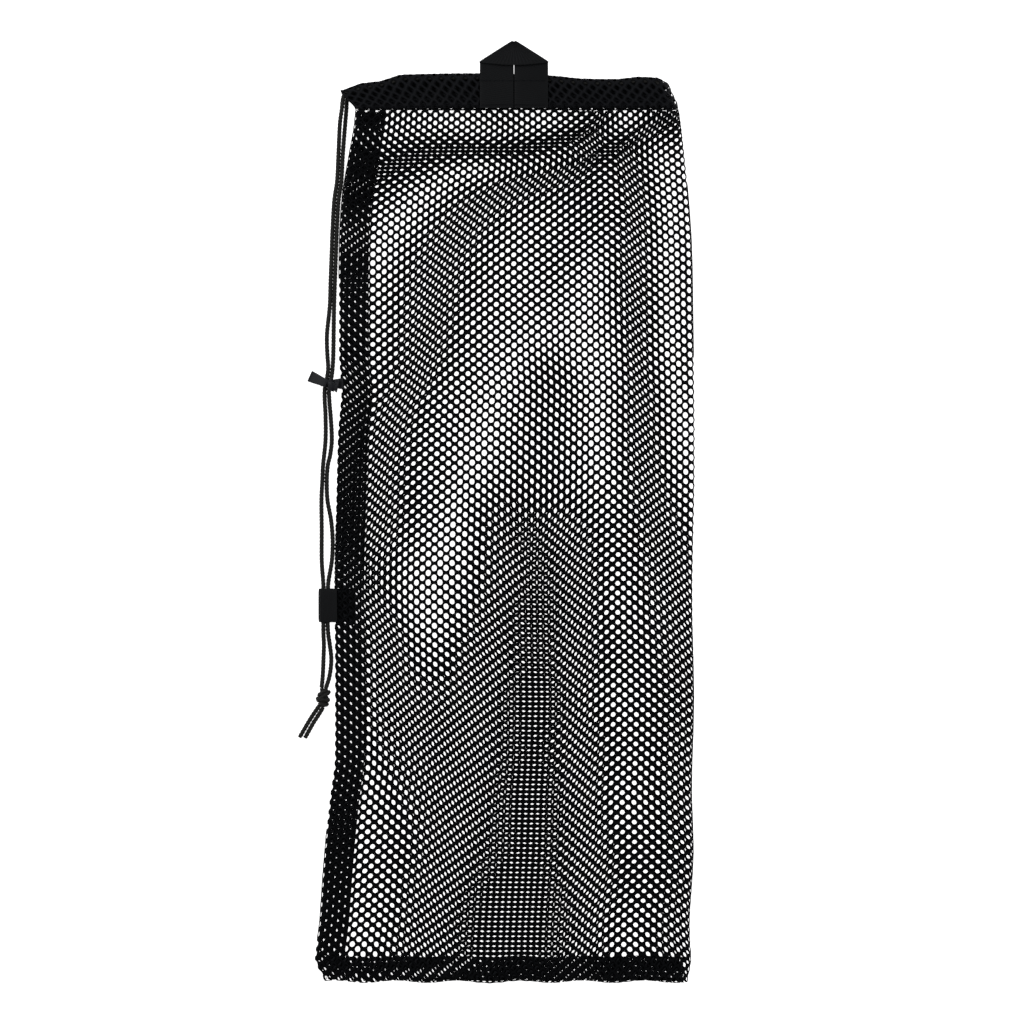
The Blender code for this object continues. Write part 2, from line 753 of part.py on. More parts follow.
def make_keeper(finish):
    """The ribbon round the two cords, the knot on it and the free tail."""
    make_loop_round_cords(
        "keeper_ribbon", RIBBON_HEIGHT, RIBBON_WIDTH, RIBBON_REACH, RIBBON_THICKNESS, finish)
    y = BOTTOM_Y + RIBBON_HEIGHT
    ribbon_top = max(over_cords(RIBBON_THICKNESS), over_seam(RIBBON_THICKNESS)) + RIBBON_THICKNESS / 2.0
    level = ribbon_top + CLEARANCE + knot_floor(RIBBON_KNOT)
    middle = Vector((left_edge(y) - RIBBON_KNOT_OUT, y, level))
    lump("keeper_knot", middle, RIBBON_KNOT, RIBBON_KNOT_AXIS, RIBBON_KNOT_TURNS, finish)
    start = middle - Vector((RIBBON_KNOT.x / 2.0 + CLEARANCE, 0.0, 0.0))
    slope = math.radians(RIBBON_TAIL_SLOPE)
    along = Vector((-math.cos(slope), math.sin(slope), 0.0))
    beside = Vector((math.sin(slope), math.cos(slope), 0.0))

    def place(i, j):
        share = i / TAIL_STEPS
        out = 2.0 * j / STRIP_STEPS - 1.0
        half = mix(RIBBON_TAIL_WAIST, RIBBON_WIDTH, smooth(share)) / 2.0
        drop = RIBBON_TAIL_DROP * start.z * smooth(share)
        curl = RIBBON_TAIL_CURL * out * out * (1.0 - share)
        spot = start + along * RIBBON_TAIL * share + beside * half * out
        return Vector((spot.x, spot.y, start.z - drop + curl))

    sheet("keeper_tail", TAIL_STEPS, STRIP_STEPS, place, RIBBON_THICKNESS, finish)


def make_cords(finish):
    """The two free runs, the knot that ties them together and the two tails below it."""
    run_a = smooth_line(RUN_A, RUN_POINTS, before=CORNER_A, crowding=RUN_CROWDING)
    run_b = smooth_line(RUN_B, RUN_POINTS, before=CORNER_B, crowding=RUN_CROWDING)
    cord("drawcord_a", run_a, finish)
    cord("drawcord_b", run_b, finish)
    lump("end_knot", END_KNOT_AT, END_KNOT, END_KNOT_AXIS, END_KNOT_TURNS, finish)
    cord("cord_tail_a", smooth_line(TAIL_A, TAIL_POINTS), finish)
    cord("cord_tail_b", smooth_line(TAIL_B, TAIL_POINTS), finish)


for old in list(bpy.data.objects):
    bpy.data.objects.remove(old)

parts = bpy.data.collections.new("mesh_gear_bag")
bpy.context.scene.collection.children.link(parts)

net = material("net", (0.010, 0.010, 0.012), 0.55)
webbing = material("webbing", (0.009, 0.009, 0.011), 0.65)
ribbon = material("ribbon", (0.016, 0.016, 0.020), 0.50)
braid = material("braid", (0.010, 0.010, 0.010), 0.60)

make_body(net)
make_casing(net)
make_side_seam(net)
make_bottom_seam(net)
make_casing_cord(braid)
make_hanging_loop(webbing)
make_loop_round_cords(
    "side_webbing_loop", SIDE_LOOP_HEIGHT, WEBBING_WIDTH, SIDE_LOOP_REACH, WEBBING_THICKNESS, webbing)
make_keeper(ribbon)
make_cords(braid)
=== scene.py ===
# %% [markdown]
# # A mesh gear bag with a drawcord
#
# The bag is a long pouch of black hex net. It lies empty on a white table and is seen from straight
# above. The net is one sheet, folded at the right edge and sewn at the left edge and the bottom, so
# the eye always looks through two layers of holes. How those two layers of holes meet is most of
# what one sees, so the net is made as real strands and not as a picture on a plane.
#
# The solid model comes first and stays where it is. Everything here is placed from it.

# %% The solid model
import math
from collections import namedtuple

import bpy
import numpy as np
from mathutils.bvhtree import BVHTree
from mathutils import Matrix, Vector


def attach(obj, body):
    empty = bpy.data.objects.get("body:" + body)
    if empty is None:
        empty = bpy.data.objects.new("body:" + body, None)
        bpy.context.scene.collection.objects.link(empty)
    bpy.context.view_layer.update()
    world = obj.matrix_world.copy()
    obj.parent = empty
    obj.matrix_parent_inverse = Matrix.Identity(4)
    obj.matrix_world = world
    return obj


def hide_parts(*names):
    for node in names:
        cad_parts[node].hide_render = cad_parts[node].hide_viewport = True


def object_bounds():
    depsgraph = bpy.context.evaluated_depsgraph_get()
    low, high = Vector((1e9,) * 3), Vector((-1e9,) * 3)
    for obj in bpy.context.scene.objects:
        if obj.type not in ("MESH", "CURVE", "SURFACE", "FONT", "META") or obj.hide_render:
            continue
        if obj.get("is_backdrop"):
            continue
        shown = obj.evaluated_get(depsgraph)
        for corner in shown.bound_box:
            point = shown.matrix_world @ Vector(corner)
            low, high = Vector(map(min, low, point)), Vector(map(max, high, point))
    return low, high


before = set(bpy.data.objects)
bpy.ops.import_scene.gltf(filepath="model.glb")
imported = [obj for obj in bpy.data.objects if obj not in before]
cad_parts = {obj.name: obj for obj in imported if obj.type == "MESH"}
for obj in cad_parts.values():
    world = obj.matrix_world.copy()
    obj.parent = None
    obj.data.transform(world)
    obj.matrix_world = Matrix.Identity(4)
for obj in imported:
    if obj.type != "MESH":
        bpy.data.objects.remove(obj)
cad_low, cad_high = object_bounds()
print("solid model, mm:", [round(1000 * (b - a), 1) for a, b in zip(cad_low, cad_high)])

# %% [markdown]
# ## The camera
#
# A picture of a flat thing is taken with a long lens from well above it, so that its edges don't
# lean. The photograph shows 0.74 mm of the bag in each of its pixels. That follows from the webbing,
# which is 25 mm wide. The camera hangs at the height where a 135 mm lens shows just that much.

# %% Camera
PIXEL = 0.00074
IMAGE_SIDE = 1024
VIEW_MIDDLE = (0.00555, 0.0124)
SHARP_LEVEL = 0.008
LENS = 135.0
SENSOR = 36.0

camera = bpy.data.cameras.new("camera")
camera.lens = LENS
camera.sensor_width = SENSOR
camera_object = bpy.data.objects.new("camera", camera)
bpy.context.scene.collection.objects.link(camera_object)
camera_height = IMAGE_SIDE * PIXEL * LENS / SENSOR
camera_object.location = (*VIEW_MIDDLE, SHARP_LEVEL + camera_height)
bpy.context.scene.camera = camera_object
print("camera height, m:", round(camera_height, 3))

# %% [markdown]
# ## Light and ground
#
# The bag was lit softly from all sides on a white ground that is as bright as the paper of a page.
# A table that glows a little gives that: each open hole is pure white, however many layers shade it.
# Two large soft lights from the upper left and the right shape the webbing and the cord.

# %% Colours
def linear(code):
    """The linear colour of an sRGB hex code."""
    shares = [int(code[k:k + 2], 16) / 255.0 for k in (1, 3, 5)]
    values = [s / 12.92 if s <= 0.04045 else ((s + 0.055) / 1.055) ** 2.4 for s in shares]
    return (*values, 1.0)


def set_sockets(node, values):
    for name, value in values.items():
        node.inputs[name].default_value = value


def add_node(tree, kind, settings=None, links=None):
    """Adds a node, sets its properties and sockets, and links other nodes' outputs to it."""
    made = tree.nodes.new(kind)
    for name, value in (settings or {}).items():
        if isinstance(name, int) or name in made.inputs:
            made.inputs[name].default_value = value
        else:
            setattr(made, name, value)
    for name, source in (links or {}).items():
        tree.links.new(source, made.inputs[name])
    return made


print("white is", linear("#ffffff"))

# %% Ground and lights
GROUND_SIDE = 12.0
GROUND_GLOW = 1.0
GROUND_BELOW = 0.0002
SKY_STRENGTH = 0.35

ground_mesh = bpy.data.meshes.new("ground")
half_ground = GROUND_SIDE / 2.0
corner_signs = ((-1, -1), (1, -1), (1, 1), (-1, 1))
ground_corners = [(x * half_ground, y * half_ground, 0.0) for x, y in corner_signs]
ground_mesh.from_pydata(ground_corners, [], [(0, 1, 2, 3)])
ground = bpy.data.objects.new("ground", ground_mesh)
ground.location.z = cad_low.z - GROUND_BELOW
bpy.context.scene.collection.objects.link(ground)
ground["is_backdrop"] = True

white_table = bpy.data.materials.new("matt white acrylic light table")
white_table.use_nodes = True
set_sockets(white_table.node_tree.nodes["Principled BSDF"], {
    "Base Color": linear("#f4f4f4"), "Roughness": 0.8, "Specular IOR Level": 0.1,
    "Emission Color": linear("#ffffff"), "Emission Strength": GROUND_GLOW})
ground_mesh.materials.append(white_table)

sky = bpy.data.worlds.new("studio")
sky.use_nodes = True
set_sockets(sky.node_tree.nodes["Background"], {"Color": linear("#ffffff"), "Strength": SKY_STRENGTH})
bpy.context.scene.world = sky
bpy.context.scene.view_settings.view_transform = "Standard"


def soft_light(name, place, size, watts):
    """A square lamp that looks at the middle of the bag."""
    lamp = bpy.data.lights.new(name, "AREA")
    lamp.size = size
    lamp.energy = watts
    lamp_object = bpy.data.objects.new(name, lamp)
    lamp_object.location = place
    lamp_object.rotation_euler = (-lamp_object.location).to_track_quat("-Z", "Y").to_euler()
    bpy.context.scene.collection.objects.link(lamp_object)


soft_light("softbox left", (-1.1, 0.9, 1.5), 0.8, 16.0)
soft_light("softbox right", (1.3, 0.2, 1.6), 0.9, 9.0)
print("lights:", [o.name for o in bpy.data.objects if o.type == "LIGHT"])

# %% [markdown]
# ## Fabric finishes
#
# All the cloth is polyester yarn, dyed black before it is knitted, woven or braided. Dyed polyester
# sends back about one hundredth of the light, a little more of the blue than of the red. Yarn is
# bundles of fine threads, so it has no clear mirror image, only a soft sheen. The threads are far
# finer than a pixel, so their relief is drawn coarser than it is: 0.35 mm instead of 0.02 mm.

# %% Fabric
YARN_RELIEF = 0.00035
FADE_PATCH = 0.014


def fabric(name, colour, worn_colour, roughness, specular):
    """Black yarn: slow patches of fading, fine relief of threads, hardly any gloss."""
    made = bpy.data.materials.new(name)
    made.use_nodes = True
    tree = made.node_tree
    shader = tree.nodes["Principled BSDF"]
    set_sockets(shader, {"Roughness": roughness, "Specular IOR Level": specular, "IOR": 1.5})
    place = add_node(tree, "ShaderNodeTexCoord").outputs["Object"]
    fade = add_node(
        tree, "ShaderNodeTexNoise", {"Scale": 1.0 / FADE_PATCH, "Detail": 3.0}, {"Vector": place})
    tint = add_node(
        tree, "ShaderNodeMix", {"data_type": "RGBA", 6: linear(colour), 7: linear(worn_colour)},
        {0: fade.outputs["Fac"]})
    tree.links.new(tint.outputs[2], shader.inputs["Base Color"])
    thread = add_node(
        tree, "ShaderNodeTexNoise", {"Scale": 1.0 / YARN_RELIEF, "Detail": 2.0}, {"Vector": place})
    relief = add_node(
        tree, "ShaderNodeBump", {"Strength": 0.5, "Distance": 0.0001}, {"Height": thread.outputs["Fac"]})
    tree.links.new(relief.outputs["Normal"], shader.inputs["Normal"])
    return made


net_yarn = fabric("warp knitted polyester net, dyed black", "#08090b", "#0d0e10", 0.65, 0.03)
# The hem yarn is the same black net, made lighter. This is painted sheen that stands for the glints on the
# layered seams and the casing.
hem_yarn_painted_sheen = fabric("layers of knitted polyester net, sewn", "#0f1013", "#151619", 0.70, 0.07)
webbing_yarn = fabric("woven polyester webbing, ribbed", "#0b0c0e", "#101113", 0.62, 0.11)
ribbon_yarn = fabric("woven satin ribbon, dark grey", "#141519", "#1b1c20", 0.50, 0.14)
cord_yarn = fabric("braided polyester cord, black", "#161615", "#1f1f1d", 0.60, 0.16)
print("finishes:", [m.name for m in bpy.data.materials])

# %% [markdown]
# ## The drawcord
#
# The cord is a round braid about 3 mm thick. Half of its strands climb to the left and half to the
# right. It lies loose, and a loose braid is a little fuller than one that is pulled. Its two ends
# leave the casing at the upper left corner, pass through the ribbon and the webbing loop, and are tied
# together in one knot. A curve with a round profile would be a smooth wire. Here a tube is built ring
# by ring instead, and each ring swells where a strand is on top. Eight strands are drawn, fewer and
# coarser than in the real braid, so that they show from where the camera hangs.

# %% Cord routes
CORD_DIAMETER = 0.0028
LOOSE_DIAMETER = 0.0034
CORNER_A = (-0.1145, 0.3236, 0.0095)
CORNER_B = (-0.1119, 0.3236, 0.0030)
RUN_A = [
    (-0.1174, 0.3218, 0.0095), (-0.1191, 0.3194, 0.0093), (-0.1198, 0.3161, 0.0091),
    (-0.1204, 0.3105, 0.0083), (-0.1220, 0.2988, 0.0060), (-0.1232, 0.2765, 0.0024),
    (-0.1242, 0.2580, 0.0015), (-0.1263, 0.2432, 0.0015), (-0.1276, 0.2210, 0.0015),
    (-0.1283, 0.2026, 0.0015), (-0.1290, 0.1840, 0.0015), (-0.1296, 0.1656, 0.0015),
    (-0.1315, 0.1470, 0.0015), (-0.1318, 0.1382, 0.0015), (-0.1314, 0.1285, 0.0015),
    (-0.1308, 0.1200, 0.0020), (-0.1314, 0.1130, 0.0024), (-0.1332, 0.1041, 0.0024),
    (-0.1334, 0.0952, 0.0019), (-0.1328, 0.0840, 0.0015), (-0.1328, 0.0656, 0.0015),
    (-0.1346, 0.0472, 0.0015), (-0.1351, 0.0360, 0.0015), (-0.1358, 0.0213, 0.0015),
    (-0.1356, -0.0010, 0.0015), (-0.1356, -0.0230, 0.0016), (-0.1346, -0.0375, 0.0025),
    (-0.1342, -0.0450, 0.0030), (-0.1342, -0.0570, 0.0030), (-0.1343, -0.0690, 0.0030),
    (-0.1343, -0.0780, 0.0022), (-0.1340, -0.0860, 0.0015), (-0.1343, -0.0970, 0.0015),
    (-0.1348, -0.1090, 0.0022), (-0.1356, -0.1179, 0.0032),
]
RUN_B = [
    (-0.1147, 0.3218, 0.0030), (-0.1163, 0.3194, 0.0030), (-0.1170, 0.3161, 0.0028),
    (-0.1173, 0.3105, 0.0022), (-0.1183, 0.2988, 0.0016), (-0.1200, 0.2765, 0.0015),
    (-0.1210, 0.2580, 0.0015), (-0.1231, 0.2432, 0.0015), (-0.1244, 0.2210, 0.0015),
    (-0.1251, 0.2026, 0.0015), (-0.1258, 0.1840, 0.0015), (-0.1264, 0.1656, 0.0015),
    (-0.1267, 0.1470, 0.0015), (-0.1270, 0.1285, 0.0015), (-0.1274, 0.1200, 0.0020),
    (-0.1282, 0.1130, 0.0024), (-0.1300, 0.1041, 0.0024), (-0.1299, 0.0952, 0.0019),
    (-0.1287, 0.0804, 0.0015), (-0.1281, 0.0656, 0.0015), (-0.1293, 0.0546, 0.0015),
    (-0.1310, 0.0472, 0.0015), (-0.1318, 0.0360, 0.0015), (-0.1313, 0.0213, 0.0015),
    (-0.1287, 0.0065, 0.0015), (-0.1275, -0.0083, 0.0015), (-0.1280, -0.0230, 0.0016),
    (-0.1303, -0.0375, 0.0025), (-0.1309, -0.0450, 0.0030), (-0.1310, -0.0570, 0.0030),
    (-0.1311, -0.0690, 0.0030), (-0.1307, -0.0780, 0.0022), (-0.1296, -0.0860, 0.0015),
    (-0.1285, -0.0970, 0.0015), (-0.1297, -0.1090, 0.0022), (-0.1325, -0.1186, 0.0032),
]
TAIL_A = [
    (-0.1371, -0.1308, 0.0032), (-0.1412, -0.1368, 0.0020), (-0.1443, -0.1415, 0.0015),
    (-0.1484, -0.1485, 0.0015), (-0.1521, -0.1549, 0.0015),
]
TAIL_B = [
    (-0.1344, -0.1324, 0.0032), (-0.1383, -0.1387, 0.0020), (-0.1415, -0.1436, 0.0015),
    (-0.1449, -0.1496, 0.0015), (-0.1480, -0.1553, 0.0015),
]
print("points on the runs:", len(RUN_A), len(RUN_B))


# %% A smooth, evenly divided line
def smooth_route(route, step, before=None):
    """Evenly spaced points on a smooth curve through a route, which may come from a point before it."""
    points = np.array(route, float)
    first = np.array(before, float) if before else 2.0 * points[0] - points[1]
    knots = np.vstack([first, points, 2.0 * points[-1] - points[-2]])
    t = np.linspace(0.0, 1.0, 24, endpoint=False)[:, None]
    pieces = []
    for a, b, c, d in zip(knots, knots[1:], knots[2:], knots[3:]):
        bend = (2.0 * a - 5.0 * b + 4.0 * c - d) * t * t + (3.0 * b - a - 3.0 * c + d) * t ** 3
        pieces.append(0.5 * (2.0 * b + (c - a) * t + bend))
    fine = np.vstack([*pieces, points[-1:]])
    reach = reach_along(fine)
    return along_line(fine, reach, np.linspace(0.0, reach[-1], max(round(reach[-1] / step), 2) + 1))


def reach_along(line):
    """How far along a line each of its points is."""
    return np.concatenate([[0.0], np.cumsum(np.linalg.norm(np.diff(line, axis=0), axis=1))])


def along_line(line, reach, goals):
    """Points on a line at the wanted distances along it."""
    return np.stack([np.interp(goals, reach, line[:, k]) for k in range(3)], axis=1)


def smooth_step(share):
    """From 0 to 1 with a soft start and a soft end."""
    return share * share * (3.0 - 2.0 * share)


def length_of(line):
    return float(np.linalg.norm(np.diff(line, axis=0), axis=1).sum())


def unit(rows):
    return rows / np.maximum(np.linalg.norm(rows, axis=-1, keepdims=True), 1e-12)


cord_length = length_of(smooth_route(RUN_A, 0.001, CORNER_A))
print("length of run a, m:", round(cord_length, 3))

# %% Braided tube
BRAID_STEP = 0.00045
BRAID_STRANDS = 8
BRAID_TURN = 0.0105
BRAID_DEPTH = 0.13
BRAID_AROUND = 24
CUT_END = 0.6


def add_piece(name, points, faces, finish, slot, *nodes):
    """A smooth shaded mesh that rides on the bag and stands for some of its solids."""
    mesh = bpy.data.meshes.new(name)
    mesh.from_pydata(np.asarray(points).tolist(), [], faces)
    mesh.materials.append(finish)
    mesh.shade_smooth()
    made = bpy.data.objects.new(name, mesh)
    bpy.context.scene.collection.objects.link(made)
    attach(made, "root")
    if nodes:
        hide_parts(*nodes)
    return made


def carried_sides(line):
    """Two directions across a line at each of its points, carried along it without twisting."""
    along = unit(np.gradient(line, axis=0))
    side = np.cross(along[0], (0.0, 0.0, 1.0))
    side = side if np.linalg.norm(side) > 0.1 else np.array((1.0, 0.0, 0.0))
    sides = []
    for direction in along:
        side = side - direction * side.dot(direction)
        side = side / np.linalg.norm(side)
        sides.append(side)
    sides = np.array(sides)
    return sides, np.cross(along, sides)


def grid_faces(rows, around):
    """Quads between rings of points, with a face over each end."""
    faces = []
    for k in range(rows - 1):
        for n in range(around):
            m = (n + 1) % around
            faces.append((k * around + n, k * around + m, (k + 1) * around + m, (k + 1) * around + n))
    faces.append(tuple(reversed(range(around))))
    faces.append(tuple(range((rows - 1) * around, rows * around)))
    return faces


def full_turn(around):
    return np.linspace(0.0, 2.0 * math.pi, around, endpoint=False)


def rings_round(line, turn, radius):
    """Points round a line, a ring at each of its points and one for each angle of the turn."""
    side, up = carried_sides(line)
    ring = side[:, None] * np.cos(turn)[None, :, None] + up[:, None] * np.sin(turn)[None, :, None]
    return (line[:, None] + radius * ring).reshape(-1, 3)


def joined(tubes, around):
    """Several tubes, each given as its rings of points, as one list of points and faces."""
    faces, start = [], 0
    for points in tubes:
        faces += [tuple(start + n for n in face) for face in grid_faces(len(points) // around, around)]
        start += len(points)
    return np.vstack(tubes), faces


def braid_points(line):
    """The rings of a braided tube: strands that climb both ways round it, one over the other."""
    turn = full_turn(BRAID_AROUND)
    reach = np.linspace(0.0, length_of(line), len(line))[:, None]
    climb = 2.0 * math.pi * reach / BRAID_TURN
    left_hand = np.cos(BRAID_STRANDS / 2.0 * (turn + climb))
    right_hand = np.cos(BRAID_STRANDS / 2.0 * (turn - climb))
    swell = 1.0 - BRAID_DEPTH * (1.0 - np.maximum(left_hand, right_hand))
    swell[0] *= CUT_END
    swell[-1] *= CUT_END
    return rings_round(line, turn, (LOOSE_DIAMETER / 2.0 * swell)[..., None])


def braided(name, lines, *nodes):
    """Braided cords along one or more lines, as one piece."""
    tubes = [braid_points(line) for line in lines]
    return add_piece(name, *joined(tubes, BRAID_AROUND), cord_yarn, "cord", *nodes)


run_a_line = smooth_route(RUN_A, BRAID_STEP, CORNER_A)
run_b_line = smooth_route(RUN_B, BRAID_STEP, CORNER_B)
run_a = braided("cord_run_a", [run_a_line], "drawcord_a")
run_b = braided("cord_run_b", [run_b_line], "drawcord_b")
tail_a = braided("cord_end_a", [smooth_route(TAIL_A, BRAID_STEP)], "cord_tail_a")
tail_b = braided("cord_end_b", [smooth_route(TAIL_B, BRAID_STEP)], "cord_tail_b")
print("runs, m:", round(length_of(run_a_line), 3), round(length_of(run_b_line), 3))

# %% [markdown]
# ## The end knot
#
# Both ends are tied together in one overhand knot. Seen from outside such a knot is a short barrel:
# each cord goes once round the pair, and the ends come out below. So two cords are wound side by side
# round the middle, and start and end near it, where the other turns hide them.

# %% End knot
KNOT_MIDDLE = np.array((-0.1344, -0.1252, 0.0034))
KNOT_HALF_WIDTH = 0.0038
KNOT_HALF_HEIGHT = 0.0017
KNOT_TURNS = 2.1
KNOT_TRAVEL = 0.0074
KNOT_APART = 0.0015
KNOT_END_SHARE = 0.35
KNOT_LEAN = 0.12
CORE_APART = 0.0006


def knot_line(offset, phase, slant):
    """One cord of the knot: a short coil round the knot's long middle line, slanted across it."""
    t = np.linspace(0.0, 1.0, 90)
    turn = 2.0 * math.pi * KNOT_TURNS * t + phase
    swell = KNOT_END_SHARE + (1.0 - KNOT_END_SHARE) * np.sin(math.pi * np.clip(t, 0.0, 1.0)) ** 0.5
    along = KNOT_TRAVEL * (0.5 - t) + offset
    x = KNOT_MIDDLE[0] + KNOT_HALF_WIDTH * swell * np.cos(turn) + KNOT_LEAN * along
    y = KNOT_MIDDLE[1] + along + slant * swell * np.cos(turn)
    z = KNOT_MIDDLE[2] + KNOT_HALF_HEIGHT * swell * np.sin(turn)
    return np.stack([x, y, z], axis=1)


core_a = smooth_route([RUN_A[-1], tuple(KNOT_MIDDLE), TAIL_A[0]], BRAID_STEP)
beside_core = KNOT_MIDDLE + np.array((CORE_APART, 0.0, 0.0))
core_b = smooth_route([RUN_B[-1], tuple(beside_core), TAIL_B[0]], BRAID_STEP)
coil_a = knot_line(KNOT_APART, 0.4, 0.0022)
coil_b = knot_line(-KNOT_APART, 1.6, -0.0014)
end_knot = braided("cord_knot", [coil_a, coil_b, core_a, core_b], "end_knot")
for run, line in ((run_a, run_a_line), (run_b, run_b_line)):
    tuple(line[0])
print("knot points:", len(end_knot.data.vertices))

# %% [markdown]
# ## The net
#
# Hex net is warp knitted: pairs of yarns run down the cloth, cross, and part again, and a round hole
# is left between each crossing and the next. A texture could only paint the holes, and it would look
# wrong from the side. The net here is a honeycomb of six sided cells. Each cell has one oval hole, and
# the cloth between two holes is thickest at the border of the cells and thins out to the hole's rim,
# which is how a strand is round.

# %% One cell
COLUMN = 0.00437
PITCH = 0.0071
CELL_POINT = 0.83
STRAND = 0.0008
HOLE_WIDE = 0.0040
HOLE_TALL = 0.0048
HOLE_CORNERS = 10
SPARE_CELLS = 4


def cell_rings():
    """Angles of a cell's six corners and of its hole's corners, seen from the middle of the cell."""
    point = CELL_POINT * COLUMN
    flat = COLUMN - point
    corners = [(point, 0.0), (flat, PITCH / 2.0), (-flat, PITCH / 2.0)]
    corners += [(-x, -y) for x, y in corners]
    outer = [math.atan2(y, x) % (2.0 * math.pi) for x, y in corners]
    inner = [2.0 * math.pi * (k + 0.5) / HOLE_CORNERS for k in range(HOLE_CORNERS)]
    return outer, inner


def ring_faces(outer, inner):
    """Triangles between the outer ring and the inner ring, in the order of their angles."""
    whole = 2.0 * math.pi
    n, m = len(outer), len(inner)
    faces = []
    i = j = 0
    while i < n or j < m:
        next_outer = outer[(i + 1) % n] + whole * ((i + 1) // n)
        next_inner = inner[(j + 1) % m] + whole * ((j + 1) // m)
        if j == m or (i < n and next_outer <= next_inner):
            faces.append((i % n, (i + 1) % n, n + j % m))
            i += 1
        else:
            faces.append((i % n, n + (j + 1) % m, n + j % m))
            j += 1
    return np.array(faces)


CELL_FACES = ring_faces(*cell_rings())


# %% A net of cells
def knit(name, columns, rows, place, slot, finish, nodes=(), slip=None, hole=None):
    """A net of cells that covers a sheet of so many columns and rows, cut straight at its edges.

    place gives points on the sheet. slip moves the lattice on the sheet, and hole gives the size of
    the holes at a share of the rows, where 1 is the full size.
    """
    spare = SPARE_CELLS
    across = np.arange(-spare, math.ceil(columns) + spare)
    up = np.arange(-spare, math.ceil(rows) + spare)
    i, j = (cells.ravel() for cells in np.meshgrid(across, up, indexing="ij"))

    def on_sheet(c, r):
        moved_c, moved_r = slip(c, r) if slip else (0.0, 0.0)
        return c + moved_c, r + moved_r

    c, r = on_sheet(i, j + i % 2 / 2.0)
    kept = (c > -0.8) & (c < columns + 0.8) & (r > -0.48) & (r < rows + 0.48)
    i, j, middle_r = i[kept], j[kept], r[kept]
    odd = i % 2
    pad = math.ceil(rows) + 3 * spare

    def corner(column, row, left):
        return ((column + 2 * spare) * pad + row + 2 * spare) * 2 + left

    ring = np.stack([
        corner(i, j, 0), corner(i + 1, j + odd, 1), corner(i - 1, j + odd, 0),
        corner(i, j, 1), corner(i - 1, j - 1 + odd, 0), corner(i + 1, j - 1 + odd, 1)], axis=1)
    used, ring = np.unique(ring, return_inverse=True)
    ring = ring.reshape(-1, 6)
    inside = np.bincount(ring.ravel()) == 3
    column = used // 2 // pad - 2 * spare
    across = column + np.where(used % 2, -CELL_POINT, CELL_POINT)
    up = used // 2 % pad - 2 * spare + column % 2 / 2.0

    def spots(c, r):
        c, r = on_sheet(c, r)
        return np.clip(c, 0.0, columns), np.clip(r, 0.0, rows)

    def outward(c, r):
        step = 0.05
        c, r = np.clip(c, step, columns - step), np.clip(r, step, rows - step)
        right, ahead = place(c + step, r) - place(c - step, r), place(c, r + step) - place(c, r - step)
        return unit(np.cross(right, ahead))

    c, r = spots(across, up)
    rise = outward(c, r) * (STRAND / 2.0 * inside)[:, None]
    below = np.where(inside, len(used) + np.cumsum(inside) - 1, np.arange(len(used)))
    turn = np.array(cell_rings()[1])
    size = hole(middle_r / rows) if hole else np.ones(len(i))
    rim_c = i[:, None] + np.outer(size, HOLE_WIDE / 2.0 / COLUMN * np.cos(turn))
    rim_r = (j + odd / 2.0)[:, None] + np.outer(size, HOLE_TALL / 2.0 / PITCH * np.sin(turn))
    points = np.vstack([
        place(c, r) + rise, (place(c, r) - rise)[inside], place(*spots(rim_c.ravel(), rim_r.ravel()))])
    rim = len(used) + int(inside.sum()) + np.arange(rim_c.size).reshape(-1, len(turn))
    top = np.hstack([ring, rim])[:, CELL_FACES].reshape(-1, 3)
    low = np.hstack([below[ring], rim])[:, CELL_FACES[:, ::-1]].reshape(-1, 3)
    faces = np.vstack([top, low]).tolist()
    made = add_piece(name, points, faces, finish, slot, *nodes)
    print(name, "cells:", len(i), "triangles:", len(faces))
    return made


# %% [markdown]
# ## The shape of the pouch
#
# The solid model already has the outline and the soft swell of the front panel, so both are measured
# on it. A slice at each height gives the left and the right edge, and rays from above give the front.

# %% Measure the solid
NET_WALL = 0.0012
BOTTOM_Y = -0.3365
STITCH_Y = 0.3100
BODY_SLICES = 120
BODY_ACROSS = 48
EDGE_INSET = 0.004
SEAM_RADIUS = 0.0019
EDGE_WAVE = 0.0009
EDGE_WAVE_PITCH = 0.046
EDGE_WAVE_REACH = 0.030


def slices(node, axis, places):
    """The lowest and highest corner of a solid's cut at each place along an axis."""
    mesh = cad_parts[node].data
    spots = np.array([v.co for v in mesh.vertices])
    ends = spots[np.array([e.vertices[:] for e in mesh.edges])]
    low, high = ends[:, 0, axis], ends[:, 1, axis]
    found = []
    for at in places:
        crossed = ((low - at) * (high - at) <= 0.0) & (low != high)
        share = ((at - low[crossed]) / (high[crossed] - low[crossed]))[:, None]
        hits = ends[crossed, 0] * (1.0 - share) + ends[crossed, 1] * share
        found.append((hits.min(axis=0), hits.max(axis=0)))
    return np.array(found)


def top_heights(node, xs, ys):
    """Height of a solid's upper face at each place."""
    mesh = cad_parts[node].data
    tree = BVHTree.FromPolygons([v.co for v in mesh.vertices], [p.vertices[:] for p in mesh.polygons])
    found = np.zeros(xs.size)
    for k, (x, y) in enumerate(zip(xs.ravel(), ys.ravel())):
        hit = tree.ray_cast((x, y, 1.0), (0.0, 0.0, -1.0))[0]
        found[k] = hit.z if hit else np.nan
    return found.reshape(xs.shape)


def softened(table, times):
    """A table of heights with its flat facets rounded off."""
    for _ in range(times):
        wide = np.pad(table, 1, mode="edge")
        table = (wide[:-2, 1:-1] + wide[2:, 1:-1] + wide[1:-1, :-2] + wide[1:-1, 2:] + 4.0 * table) / 8.0
    return table


